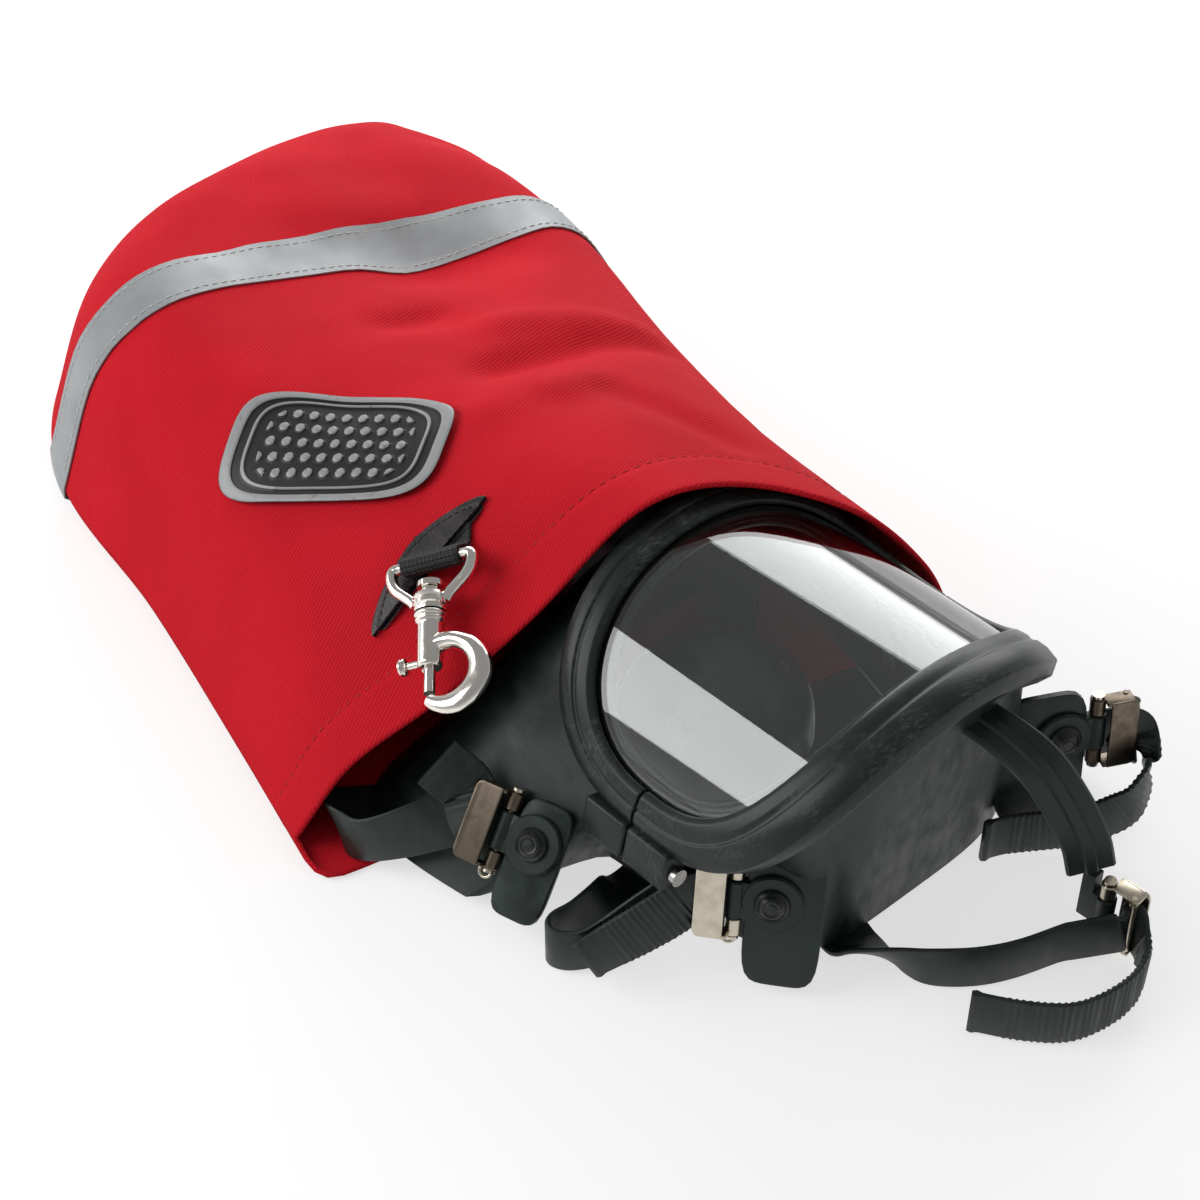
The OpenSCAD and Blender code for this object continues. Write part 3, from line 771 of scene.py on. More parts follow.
@dataclass(frozen=True)
class Thread(Finish):
    """Twisted sewing thread."""

    colour: Colour

    def lay(self, recipe: Recipe) -> None:
        """Lays the finish's nodes out.

        Args:
            recipe: The nodes of its material.
        """
        place = recipe.coordinates()
        ply = recipe.noise(place, 0.5, 2.0)
        dark = shaded(self.colour, 0.6)
        recipe.set("Base Color", recipe.mix(ply, self.colour, dark))
        recipe.set("Roughness", 0.7)
        recipe.bump(ply, 0.1)


@dataclass(frozen=True)
class Leather(Finish):
    """Dark grained leather, worn paler in patches."""

    colour: Colour
    worn: Colour

    def lay(self, recipe: Recipe) -> None:
        """Lays the finish's nodes out.

        Args:
            recipe: The nodes of its material.
        """
        place = recipe.coordinates()
        grain = recipe.add("TexVoronoi", {"Vector": place, "Scale": 950.0}).outputs["Distance"]
        pores = recipe.noise(place, 0.5, 4.0)
        wear = recipe.noise(place, 9.0, 4.0)
        recipe.set("Base Color", recipe.mix(recipe.fit(wear, 0.45, 0.75, 0.0, 1.0), self.colour, self.worn))
        recipe.set("Roughness", recipe.fit(wear, 0.3, 0.7, 0.34, 0.55))
        recipe.bump(recipe.sums("ADD", grain, recipe.sums("MULTIPLY", pores, 0.5)), 0.12, 0.7)


@dataclass(frozen=True)
class Webbing(Finish):
    """Black woven webbing with ribs across."""

    colour: Colour
    pitch: float = 1.1

    def lay(self, recipe: Recipe) -> None:
        """Lays the finish's nodes out.

        Args:
            recipe: The nodes of its material.
        """
        ribs = recipe.bands(recipe.coordinates("UV", turn=90.0), self.pitch)
        cords = recipe.bands(recipe.coordinates("UV"), self.pitch * 1.4)
        fibre = recipe.noise(recipe.coordinates(), 0.6)
        pale = shaded(self.colour, 2.6, 0.01)
        weave = recipe.sums("MULTIPLY", ribs, cords)
        recipe.set("Base Color", recipe.mix(weave, self.colour, pale))
        recipe.set("Roughness", recipe.fit(fibre, 0.3, 0.7, 0.55, 0.8))
        recipe.bump(weave, 0.3)


@dataclass(frozen=True)
class Plated(Finish):
    """Plated metal with fine scratches and faint tarnish."""

    colour: Colour
    tarnish: Colour
    low: float = 0.09
    high: float = 0.24
    spread: float = 0.35

    def lay(self, recipe: Recipe) -> None:
        """Lays the finish's nodes out.

        Args:
            recipe: The nodes of its material.
        """
        place = recipe.coordinates()
        cloudy = recipe.noise(place, 5.0, 5.0)
        fine = recipe.noise(recipe.coordinates(stretch=(1.0, 6.0, 6.0), turn=35.0), 1.4, 3.0)
        dulled = recipe.fit(cloudy, 0.42, 0.8, 0.0, self.spread)
        recipe.set("Base Color", recipe.mix(dulled, self.colour, self.tarnish))
        recipe.set("Metallic", 1.0)
        recipe.set("Roughness", recipe.fit(cloudy, 0.35, 0.75, self.low, self.high))
        recipe.bump(fine, 0.012, 0.5)


@dataclass(frozen=True)
class Rubber(Finish):
    """Moulded rubber with a dusty bloom."""

    colour: Colour
    bloom: Colour
    low: float = 0.36
    high: float = 0.58
    grain: float = 0.03

    def lay(self, recipe: Recipe) -> None:
        """Lays the finish's nodes out.

        Args:
            recipe: The nodes of its material.
        """
        place = recipe.coordinates()
        dust = recipe.noise(place, 18.0, 5.0, 0.62)
        smear = recipe.noise(recipe.coordinates(stretch=(1.0, 3.0, 1.0), turn=40.0), 12.0, 4.0)
        both = recipe.sums("MULTIPLY", dust, smear)
        skin = recipe.noise(place, 0.7, 3.0)
        recipe.set("Base Color", recipe.mix(recipe.fit(both, 0.16, 0.42, 0.0, 1.0), self.colour, self.bloom))
        recipe.set("Roughness", recipe.fit(both, 0.14, 0.4, self.low, self.high))
        recipe.set("Specular IOR Level", 0.36)
        recipe.bump(skin, self.grain)


@dataclass(frozen=True)
class Scuffed(Finish):
    """Hard black moulding, scuffed grey where it rubs."""

    colour: Colour
    scuff: Colour

    def lay(self, recipe: Recipe) -> None:
        """Lays the finish's nodes out.

        Args:
            recipe: The nodes of its material.
        """
        place = recipe.coordinates()
        patch = recipe.noise(place, 14.0, 4.0, 0.6)
        streak = recipe.noise(recipe.coordinates(stretch=(2.6, 0.7, 1.0), turn=-28.0), 2.2, 5.0, 0.7)
        fine = recipe.noise(place, 0.8, 4.0)
        where, how = recipe.fit(patch, 0.46, 0.7, 0.04, 1.0), recipe.fit(streak, 0.44, 0.74, 0.0, 1.0)
        worn = recipe.sums("MULTIPLY", where, how)
        recipe.set("Base Color", recipe.mix(worn, self.colour, self.scuff))
        recipe.set("Roughness", recipe.fit(worn, 0.0, 0.7, 0.34, 0.62))
        recipe.set("Specular IOR Level", 0.3)
        recipe.bump(recipe.sums("ADD", recipe.sums("MULTIPLY", worn, 0.8), fine), 0.035)


@dataclass(frozen=True)
class Clear(Finish):
    """Clear plastic with a faint haze."""

    colour: Colour
    index: float = 1.75

    def lay(self, recipe: Recipe) -> None:
        """Lays the finish's nodes out.

        Args:
            recipe: The nodes of its material.
        """
        haze = recipe.noise(recipe.coordinates(stretch=(1.0, 4.0, 4.0), turn=24.0), 14.0, 3.0, 0.6)
        recipe.set("Base Color", self.colour)
        recipe.set("Transmission Weight", 1.0)
        recipe.set("IOR", self.index)
        recipe.set("Roughness", recipe.fit(haze, 0.4, 0.75, 0.006, 0.028))


@dataclass(frozen=True)
class Moulded(Finish):
    """Plain moulded plastic or thin sheet with a fine grain."""

    colour: Colour
    rough: float = 0.5

    def lay(self, recipe: Recipe) -> None:
        """Lays the finish's nodes out.

        Args:
            recipe: The nodes of its material.
        """
        place = recipe.coordinates()
        mottled = recipe.noise(place, 7.0, 4.0)
        dark = shaded(self.colour, 0.7)
        recipe.set("Base Color", recipe.mix(recipe.fit(mottled, 0.35, 0.7, 0.0, 1.0), self.colour, dark))
        recipe.set("Roughness", recipe.fit(mottled, 0.3, 0.7, self.rough - 0.08, self.rough + 0.1))
        recipe.bump(recipe.noise(place, 0.5), 0.02)


@dataclass(frozen=True)
class TwoTone(Finish):
    """Moulded rubber whose raised parts are painted, as an attribute of the piece says."""

    field: Colour
    raised: Colour
    attribute: str = "raised"

    def lay(self, recipe: Recipe) -> None:
        """Lays the finish's nodes out.

        Args:
            recipe: The nodes of its material.
        """
        place = recipe.coordinates()
        high = recipe.add("Attribute", attribute_name=self.attribute).outputs["Fac"]
        worn = recipe.noise(place, 3.0, 5.0, 0.65)
        where, how = recipe.fit(high, 0.45, 0.6, 0.0, 1.0), recipe.fit(worn, 0.3, 0.42, 0.55, 1.0)
        paint = recipe.sums("MULTIPLY", where, how)
        recipe.set("Base Color", recipe.mix(paint, self.field, self.raised))
        recipe.set("Roughness", recipe.fit(paint, 0.0, 1.0, 0.5, 0.34))
        recipe.bump(recipe.noise(place, 0.6, 3.0), 0.03)


RED_CANVAS = Canvas("red_canvas", (0.74, 0.014, 0.027, 1), (0.42, 0.005, 0.012, 1))
TAPE = Beaded("silver_tape", (0.33, 0.35, 0.36, 1))
TAPE_THREAD = Thread("tape_thread", (0.90, 0.91, 0.90, 1))
HEM_THREAD = Thread("hem_thread", (0.62, 0.012, 0.022, 1))
DARK_THREAD = Thread("dark_thread", (0.05, 0.045, 0.048, 1))
LEATHER = Leather("black_leather", (0.011, 0.008, 0.010, 1), (0.038, 0.028, 0.034, 1))
WEBBING = Webbing("black_webbing", (0.008, 0.009, 0.009, 1))
BADGE = TwoTone("badge_rubber", (0.006, 0.006, 0.007, 1), (0.34, 0.345, 0.35, 1))
NICKEL = Plated("bright_nickel", (0.83, 0.80, 0.75, 1), (0.62, 0.55, 0.44, 1))
AGED_NICKEL = Plated("aged_nickel", (0.56, 0.51, 0.42, 1), (0.38, 0.31, 0.21, 1), 0.2, 0.38, 0.6)
# Dark metal; on the near jaw's buckle, which lies in the bag's shadow, it is painted shade
BRONZE_AND_SHADE = Plated("dark_bronze", (0.16, 0.13, 0.10, 1), (0.06, 0.045, 0.03, 1), 0.3, 0.5, 0.8)
SPRING_STEEL = Plated("spring_steel", (0.46, 0.46, 0.47, 1), (0.3, 0.28, 0.25, 1), 0.2, 0.35, 0.4)
RUBBER = Rubber("black_rubber", (0.0095, 0.0175, 0.0145, 1), (0.026, 0.042, 0.036, 1))
STRAP_RUBBER = Rubber(
    "strap_rubber", (0.0105, 0.0170, 0.0148, 1), (0.029, 0.041, 0.037, 1), 0.36, 0.52, 0.02
)
GASKET_RUBBER = Rubber(
    "gasket_rubber", (0.010, 0.012, 0.012, 1), (0.03, 0.033, 0.032, 1), 0.28, 0.45, 0.01
)
BEZEL = Scuffed("bezel_black", (0.015, 0.0205, 0.019, 1), (0.115, 0.125, 0.12, 1))
LENS = Clear("clear_lens", (0.87, 0.94, 0.925, 1))
VALVE_RUBBER = Moulded("valve_rubber", (0.035, 0.034, 0.033, 1), 0.5)
PORT_PLASTIC = Moulded("port_plastic", (0.03, 0.031, 0.033, 1), 0.45)
RING_METAL = Plated("ring_aluminium", (0.62, 0.63, 0.64, 1), (0.5, 0.5, 0.5, 1), 0.28, 0.42, 0.4)
STUD_RUBBER = Rubber("stud_rubber", (0.012, 0.014, 0.014, 1), (0.03, 0.034, 0.033, 1), 0.22, 0.4, 0.01)


def dress(
    piece: Piece, finish: Finish, body: str | None = None, replaced: Sequence[str] = ()
) -> Piece:
    """Gives a piece its finish, its body and the nodes that it stands for.

    Args:
        piece: The finished mesh.
        finish: The finish of its surface.
        body: The body that it rides on, or None where it bends between two.
        replaced: The nodes that it stands for.

    Returns:
        The same piece.
    """
    piece.data.materials.clear()
    piece.data.materials.append(finish.material())
    if replaced:
        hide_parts(*replaced)
    if body is not None:
        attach(piece, str(body))
    LOG.info("%s: %d faces on %s", piece.name, len(piece.data.polygons), body or "two bodies")
    return piece


def dress_node(node: str, finish: Finish) -> None:
    """Gives a node that is shown as it is a better finish.

    Args:
        node: The node's name.
        finish: The finish.
    """
    mesh = frame["nodes"][node].data
    mesh.materials.clear()
    mesh.materials.append(finish.material())
    LOG.info("%s keeps its shape, in %s", node, finish.name)


# Shapes that several pieces share


def round_dir(t: np.ndarray, e: float) -> np.ndarray:
    """Gives the point of a rounded outline of half size 1 in the direction t; e is 2 for a circle.

    Args:
        t: Directions, in radians.
        e: The roundness, where more is squarer.

    Returns:
        The points, two numbers each.
    """
    c, n = np.cos(t), np.sin(t)
    scale = (np.abs(c) ** e + np.abs(n) ** e) ** (-1 / e)
    return np.stack([c * scale, n * scale], axis=-1)


def disc_grid(count: int) -> tuple[np.ndarray, np.ndarray]:
    """Maps a square grid to a disc without a pole.

    Args:
        count: The points along each side of the grid.

    Returns:
        For each point its direction in radians and its share of the way to the rim. Rows run against the
        first direction and columns along the second, so that faces point up.
    """
    line = np.linspace(-1, 1, count)
    first, second = np.meshgrid(-line, line, indexing="ij")
    share = np.maximum(np.abs(first), np.abs(second))
    safe = np.where(share == 0, 1, share)
    a, b = first / safe, second / safe
    wide = np.abs(a) >= np.abs(b)
    quarter = math.pi / 4
    turn = np.where(wide, np.where(a > 0, b * quarter, math.pi - b * quarter), 0)
    turn = np.where(~wide, np.where(b > 0, 2 * quarter - a * quarter, -2 * quarter + a * quarter), turn)
    return turn, share


def flat_tube(name: str, path: np.ndarray, wide: np.ndarray, thick: np.ndarray, sides: int = 16) -> Piece:
    """Sweeps an oval along a path in the XY plane.

    Args:
        name: The piece's name.
        path: The path's points, two numbers each, in millimetres.
        wide: Half of the oval's width in the plane, at each point.
        thick: Half of its thickness across the plane, at each point.
        sides: The points round the oval.

    Returns:
        The closed piece, in metres.
    """
    run = unit(np.gradient(path, axis=0))
    out = np.stack([run[:, 1], -run[:, 0]], axis=1)
    a = np.arange(sides) * math.tau / sides
    plane = path[:, None] + out[:, None] * (wide[:, None] * np.cos(a))[..., None]
    height = thick[:, None] * np.sin(a)
    rows = np.concatenate([plane, height[..., None]], axis=2) * MM
    return tube(name, rows)


def curve(points: Sequence[Sequence[float]], per: int) -> np.ndarray:
    """Draws a smooth curve through points.

    Args:
        points: One row of numbers for each point.
        per: The steps between each two.

    Returns:
        The rows of the curve.
    """
    values = np.array(points, float)
    places = list(range(len(values)))
    return np.array([smooth_at(places, values, i / per) for i in range((len(values) - 1) * per + 1)])


def coil(name: str, start: float, end: float, radius: float, wire: float, turns: int) -> Piece:
    """Winds a spring along X, in millimetres, as one tube.

    Args:
        name: The spring's name.
        start: Where it starts.
        end: Where it ends.
        radius: The radius of its turns.
        wire: The wire's thickness.
        turns: The number of turns.

    Returns:
        The closed spring, in metres.
    """
    per, sides = 28, 10
    count = turns * per
    a = np.arange(count + 1) * math.tau / per
    b = np.arange(sides) * math.tau / sides
    out = np.stack([np.zeros_like(a), np.cos(a), np.sin(a)], axis=1)
    rows = out[:, None] * (radius + wire / 2 * np.cos(b))[None, :, None]
    rows[..., 0] += np.linspace(start, end, count + 1)[:, None] + wire / 2 * np.sin(b)[None]
    return tube(name, rows * MM)


# The bag


@dataclass(frozen=True)
class Fold:
    """A soft crease in the cloth: the ends of its line, its half width and how far the cloth drops."""

    start: tuple[float, float]
    end: tuple[float, float]
    width: float
    drop: float

    def depth(self, x: np.ndarray, y: np.ndarray) -> np.ndarray:
        """Gives how far the cloth drops.

        Args:
            x: Places along the bag.
            y: Places across it.

        Returns:
            The drop at each place, in millimetres.
        """
        (ax, ay), (bx, by) = self.start, self.end
        dx, dy = bx - ax, by - ay
        t = np.clip(((x - ax) * dx + (y - ay) * dy) / (dx * dx + dy * dy), 0, 1)
        return self.drop * np.exp(-(((x - ax - t * dx) ** 2 + (y - ay - t * dy) ** 2) / self.width**2))


@dataclass
class CarryBag:
    """The cloth bag with its hem, tape, badge, leather tab and stitches."""

    stations: tuple[float, ...] = (-366, -360, -340, -300, -240, -150, -70, 0)
    shares: tuple[float, ...] = (0, 0.08, 0.2, 0.35, 0.5, 0.65, 0.8, 0.92, 1)
    rows: tuple[tuple[float, ...], ...] = (
        (24, 76, 10, 14, 18, 20, 20, 19, 17, 13, 10),
        (-4, 90, 8, 21, 32, 38, 40, 39, 35, 24, 12),
        (-58, 100, 8, 32, 48, 56, 58, 56, 50, 35, 14),
        (-107, 111, 8, 48, 69, 75, 72, 66, 62, 47, 15),
        (-133, 121, 8, 58, 80, 77, 69, 62, 61, 50, 15),
        (-129, 118, 8, 54, 76, 82, 84, 81, 73, 50, 13),
        (-129, 119, 8, 46, 67, 86, 102, 102, 86, 54, 12),
        (-130, 133, 8, 38, 58, 82, 114, 112, 94, 54, 11),
    )
    lip: tuple[float, ...] = (-14, -10, -5, -5, -4, 0, 17, 18, 10)
    lip_under: float = 4
    lip_length: float = 60
    floor: float = 1.0
    cloth: float = 1.3
    hem_cloth: float = 2.3
    hem: float = 23
    tape_x: float = -241
    tape_width: float = 26
    tape_gap: float = 0.4
    tape_thick: float = 0.6
    tape_seam: float = 3.2
    seam_span: tuple[float, float] = (0.012, 0.988)
    tape_stitch: tuple[float, float, float] = (2.9, 1.0, 0.55)
    hem_stitch: tuple[float, float, float] = (3.2, 1.3, 0.7)
    tab_stitch: tuple[float, float, float] = (1.9, 0.8, 0.5)
    badge_at: tuple[float, float] = (-119, -60)
    badge_size: tuple[float, float] = (86, 48)
    badge_turn: float = 45
    badge_pitch: float = 6.4
    badge_dot: float = 2.1
    badge_height: float = 2.5
    badge_relief: float = 0.9
    badge_thick: float = 1.9
    tab_at: tuple[float, float] = (-48, -57)
    tab_size: tuple[float, float] = (54, 25)
    tab_turn: float = 96
    tab_lower: float = 0.06
    tab_height: float = 2.7
    tab_thread: float = 2.55
    tab_rise: float = 1.2
    tab_seam: float = 0.84
    tab_thick: float = 2.1
    folds: tuple[Fold, ...] = (
        Fold((-154, 26), (-139, 80), 10, -4.5),
        Fold((-124, 10), (-126, 78), 9, 6.5),
        Fold((-97, -10), (-92, 30), 10, -3),
        Fold((-82, 34), (-33, 59), 8, 4.5),
        Fold((-181, -10), (-171, 10), 9, 3.5),
        Fold((-224, 26), (-220, 60), 21, 7.5),
        Fold((-266, 10), (-262, 30), 20, -5),
        Fold((-300, -20), (-264, -56), 16, 3),
    )
    creases: tuple[Fold, ...] = (
        Fold((-119, 17), (-121, 44), 3.5, 1.6),
        Fold((-225, -98), (-178, -121), 5, 2.2),
        Fold((-174, -121), (-122, -106), 6, 2.0),
        Fold((-316, 72), (-296, 92), 7, 2.6),
        Fold((-181, -4), (-180, 14), 4, 1.8),
        Fold((-96, 2), (-72, 20), 5, 1.6),
        Fold((-74, 39), (-44, 54), 3, 1.2),
        Fold((-196, 2), (-178, 10), 4, 1.3),
        Fold((-150, -6), (-120, 2), 6, 1.0),
        Fold((-30, -104), (-62, -88), 6, 1.2),
        Fold((-90, -112), (-120, -100), 7, 1.2),
        Fold((-24, 84), (-70, 94), 6, 1.4),
    )

    def row(self, x: float) -> np.ndarray:
        """Gives the edges and heights of the cloth at a station."""
        return smooth_at(self.stations, np.array(self.rows, float), x)

    def relief(self, x: np.ndarray, y: np.ndarray) -> np.ndarray:
        """Gives how far folds and waves lift the cloth.

        Args:
            x: Places along the bag.
            y: Places across it.

        Returns:
            The lift at each place, in millimetres.
        """
        lift = -sum(fold.depth(x, y) for fold in (*self.folds, *self.creases))
        places = np.stack([x, y], axis=-1).reshape(-1, 2)
        wave = [
            noise.noise((a / 46, b / 46, 3.1)) * 1.3 + noise.noise((a / 17, b / 20, 7.7)) * 0.6
            for a, b in places
        ]
        wave = np.reshape(wave, np.shape(x))
        held = np.exp(-(((x - self.tab_at[0] - 14) / 34) ** 2) - ((y - self.tab_at[1]) / 40) ** 2)
        return (lift + wave) * (1 - held)

    def top(self, x: float, share: np.ndarray) -> np.ndarray:
        """Gives places across the top of the bag.

        Args:
            x: The station along the bag.
            share: Shares of the width, from the near edge to the far one.

        Returns:
            One place for each share, in millimetres.
        """
        row = self.row(x)
        bend = ease((x + self.lip_length) / self.lip_length)
        drawn = np.array([smooth_at(self.shares, np.array(self.lip, float), s) for s in share]) * bend
        height = np.array([smooth_at(self.shares, row[2:], s) for s in share])
        y = row[0] + (row[1] - row[0]) * share
        fade = np.sin(math.pi * np.clip(share, 0, 1)) ** 0.6 * ease((x - self.stations[0]) / 40)
        seam = 0.5 * ease((x + self.hem) / 2.5) - 0.45 * math.exp(-(((x + self.hem) / 1.6) ** 2))
        z = height + self.relief(x + drawn, y) * fade + seam
        return np.stack([x + drawn, y, z], axis=1)

    def height(self, x: float, y: float) -> float:
        """Gives the height of the cloth over one place.

        Args:
            x: The place along the bag.
            y: The place across it.

        Returns:
            The height, in millimetres.
        """
        row = self.row(x)
        share = (y - row[0]) / (row[1] - row[0])
        return float(self.top(x, np.array([share]))[0, 2])

    def heights(self, x: np.ndarray, y: np.ndarray) -> np.ndarray:
        """Gives the height of the cloth over many places."""
        return np.vectorize(self.height)(x, y)

    def ring(self, x: float, count: int = 60, under: int = 18) -> np.ndarray:
        """Gives one closed ring of the bag, from the near edge over the top and back underneath.

        Args:
            x: The station along the bag.
            count: Steps over the top.
            under: Steps underneath.

        Returns:
            The ring's places, in millimetres.
        """
        row = self.row(x)
        near, far = row[0], row[1]
        over = self.top(x, (1 - np.cos(math.pi * np.arange(count + 1) / count)) / 2)
        away = ease((abs(x - self.tape_x) - self.tape_width / 2 - 4) / 12)
        low = self.floor - 0.7 * away
        place = x + self.lip_under * ease((x + self.lip_length) / self.lip_length)
        q = np.arange(under + 1) / under
        y = far - 3 + (near - far + 6) * q
        below = np.stack([np.full_like(y, place), y, np.full_like(y, low)], axis=1)
        far_side = [[(over[-1, 0] + place) / 2, far + 0.4, over[-1, 2] * 0.5]]
        near_side = [[(over[0, 0] + place) / 2, near - 0.4, over[0, 2] * 0.5]]
        return np.concatenate([over, far_side, below, near_side])

    @staticmethod
    def swollen(ring: np.ndarray, by: float) -> np.ndarray:
        """Moves a ring outwards.

        Args:
            ring: The ring's places.
            by: The distance, in millimetres.

        Returns:
            The wider ring.
        """
        run = np.roll(ring, -1, axis=0) - np.roll(ring, 1, axis=0)
        out = np.stack([np.zeros(len(ring)), -run[:, 2], run[:, 1]], axis=1)
        return ring + by * unit(out)

    def build_shell(self) -> Piece:
        """Builds the cloth, with a thicker hem at the mouth.

        Returns:
            The shell.
        """
        spans = ((0, -30, -2.5), (-30, -340, -4.5), (-340, -366.1, -2.0))
        xs = np.concatenate([np.arange(*span) for span in spans])
        rings = [self.ring(float(x)) for x in xs]
        end = rings[-1]
        middle = end.mean(axis=0)
        for k in (0.9, 0.6, 0.3, 0.0):
            rings.append(middle + (end - middle) * k - np.array([3.0 * (1 - k), 0, 0]))
        made = merge_points(lofted("bag_cloth", at(np.array(rings)), around=True))
        group = made.vertex_groups.new(name="hem")
        seam = (MOUTH[0] - self.hem) * MM
        thin = self.cloth / self.hem_cloth
        for v in made.data.vertices:
            hem = float(ease((v.co.x - seam) / 0.004 + 0.5))
            group.add([v.index], thin + (1 - thin) * hem, "REPLACE")
        sheet = {"thickness": self.hem_cloth * MM, "offset": -1.0, "use_quality_normals": True}
        refine(made, "SOLIDIFY", vertex_group="hem", **sheet)
        made.vertex_groups.clear()
        return smooth(subdivide(made), 70)

    def build_tape(self) -> Piece:
        """Builds the tape round the bag.

        Returns:
            The tape.
        """
        rings = []
        for share in np.linspace(0.5, -0.5, 9):
            ring = self.swollen(self.ring(self.tape_x + self.tape_width * share), self.tape_gap)
            sway = [noise.noise(Vector((p[1] / 16, share * 3, 1.3))) * 0.9 for p in ring]
            ring[:, 0] += np.array(sway)
            rings.append(ring)
        made = merge_points(lofted("tape_band", at(np.array(rings)), around=True))
        refine(made, "SOLIDIFY", thickness=self.tape_thick * MM, offset=1.0, use_quality_normals=True)
        return smooth(made, 50)

    def seam_line(self, x: float, low: float, high: float, lift: float, count: int = 260) -> np.ndarray:
        """Gives a sewing line across the top of the bag.

        Args:
            x: The station along the bag.
            low: The share of the width where it starts.
            high: The share where it ends.
            lift: Its height over the cloth, in millimetres.
            count: Its points.

        Returns:
            Places and normals, in metres.
        """
        share = np.linspace(low, high, count)
        line = self.top(x, share)
        along = np.gradient(line, axis=0)
        down = self.top(x - 1.5, share) - self.top(x + 1.5, share)
        normal = unit(np.cross(along, down))
        return np.concatenate([at(line + normal * lift), normal], axis=1)

    @staticmethod
    def on_bag(
        place: Sequence[float], turn: float, u: np.ndarray, v: np.ndarray
    ) -> tuple[np.ndarray, np.ndarray]:
        """Turns places on a patch, which is turned in degrees about its own place, into places on the bag."""
        c, s = math.cos(math.radians(turn)), math.sin(math.radians(turn))
        return place[0] + u * c - v * s, place[1] + u * s + v * c

    def build_badge(self) -> Piece:
        """Builds a plain rubber patch with a raised rim and a field of grip dots.

        Returns:
            The patch, with an attribute that tells its raised parts.
        """
        turn, share = disc_grid(121)
        d = round_dir(turn, 4.0)
        u, v = (share * d[..., k] * self.badge_size[k] / 2 for k in (0, 1))
        pitch = self.badge_pitch
        off = np.where(np.floor(v / pitch + 0.5) % 2 == 0, 0.0, pitch / 2)
        du = (u + off + pitch / 2) % pitch - pitch / 2
        dv = (v + pitch / 2) % pitch - pitch / 2
        dot = ease((self.badge_dot - np.hypot(du, dv)) / 0.5) * (share < 0.68)
        rim = ease((share - 0.885) / 0.02) * (1 - 0.6 * ease((share - 0.985) / 0.015))
        line = ease((share - 0.765) / 0.014) * ease((0.815 - share) / 0.014)
        raised = np.maximum(np.maximum(rim, line), dot)
        x, y = self.on_bag(self.badge_at, self.badge_turn, u, v)
        z = self.heights(x, y) + self.badge_height + self.badge_relief * raised
        made = lofted("badge_plate", at(np.stack([x, y, z], axis=-1)), raised=raised)
        refine(made, "SOLIDIFY", thickness=self.badge_thick * MM, offset=-1.0)
        return smooth(made, 45)

    def tab_outline(self, turn: np.ndarray, share: np.ndarray) -> tuple[np.ndarray, np.ndarray]:
        """Gives places on the leather tab, a slanted half leaf with pointed ends.

        Args:
            turn: Directions from its middle, in radians.
            share: Shares of the way to its edge.

        Returns:
            The places along and across the bag.
        """
        d = round_dir(turn, 1.55)
        u, v = (share * d[..., k] * self.tab_size[k] / 2 for k in (0, 1))
        return self.on_bag(self.tab_at, self.tab_turn, u, np.where(v < 0, self.tab_lower * v, v) + 0.16 * u)

    def tab_lift(self, x: np.ndarray, y: np.ndarray) -> np.ndarray:
        """Gives how far the webbing underneath lifts the leather tab.

        Args:
            x: Places along the bag.
            y: Places across it.

        Returns:
            The lift at each place, in millimetres.
        """
        c, s = math.cos(math.radians(self.tab_turn)), math.sin(math.radians(self.tab_turn))
        dx, dy = x - self.tab_at[0], y - self.tab_at[1]
        u, v = dx * c + dy * s, dy * c - dx * s
        return self.tab_rise * ease((24 - np.abs(u)) / 14) * ease((11 - v) / 11)

    def build_tab(self) -> Piece:
        """Builds the leather tab.

        Returns:
            The tab.
        """
        turn, share = disc_grid(49)
        x, y = self.tab_outline(turn, share)
        groove = 0.35 * np.exp(-(((share - self.tab_seam) / 0.025) ** 2))
        edge = 0.5 * ease((share - 0.93) / 0.07)
        z = self.heights(x, y) + self.tab_height + self.tab_lift(x, y) - groove - edge
        made = lofted("tab_leather", at(np.stack([x, y, z], axis=-1)))
        refine(made, "SOLIDIFY", thickness=self.tab_thick * MM, offset=-1.0)
        return smooth(round_edges(made, 0.4), 50)

    def tab_line(self) -> np.ndarray:
        """Gives the sewing line round the leather tab.

        Returns:
            Places and normals, in metres.
        """
        turn = np.linspace(0, math.tau, 181)
        x, y = self.tab_outline(turn, np.full_like(turn, self.tab_seam))
        z = self.heights(x, y) + self.tab_thread + self.tab_lift(x, y)
        normal = np.tile((0.0, -0.35, 0.94), (len(turn), 1))
        return np.concatenate([at(np.stack([x, y, z], axis=1)), normal], axis=1)

    def build(self) -> None:
        """Builds and dresses every piece of the bag."""
        cloth = dress(self.build_shell(), RED_CANVAS, Body.BAG, ["bag_shell"])
        tape = dress(self.build_tape(), TAPE, Body.BAG, ["reflective_tape"])
        for name, side in (("mouth", 1), ("end", -1)):
            x = self.tape_x + side * (self.tape_width / 2 - self.tape_seam)
            line = self.seam_line(x, *self.seam_span, self.tape_gap + self.tape_thick + 0.1)
            row = stitches(f"tape_stitches_{name}", line, *self.tape_stitch)
            dress(row, TAPE_THREAD, Body.BAG)
        line = self.seam_line(-self.hem, *self.seam_span, 0.12, 420)
        hem = stitches("hem_stitches", line, *self.hem_stitch)
        dress(hem, HEM_THREAD, Body.BAG)
        dress(self.build_badge(), BADGE, Body.BAG, ["badge_patch"])
        dress(self.build_tab(), LEATHER, Body.BAG, ["leather_tab"])
        row = stitches("tab_stitches", self.tab_line(), *self.tab_stitch)
        dress(row, DARK_THREAD, Body.BAG)


# The snap hook


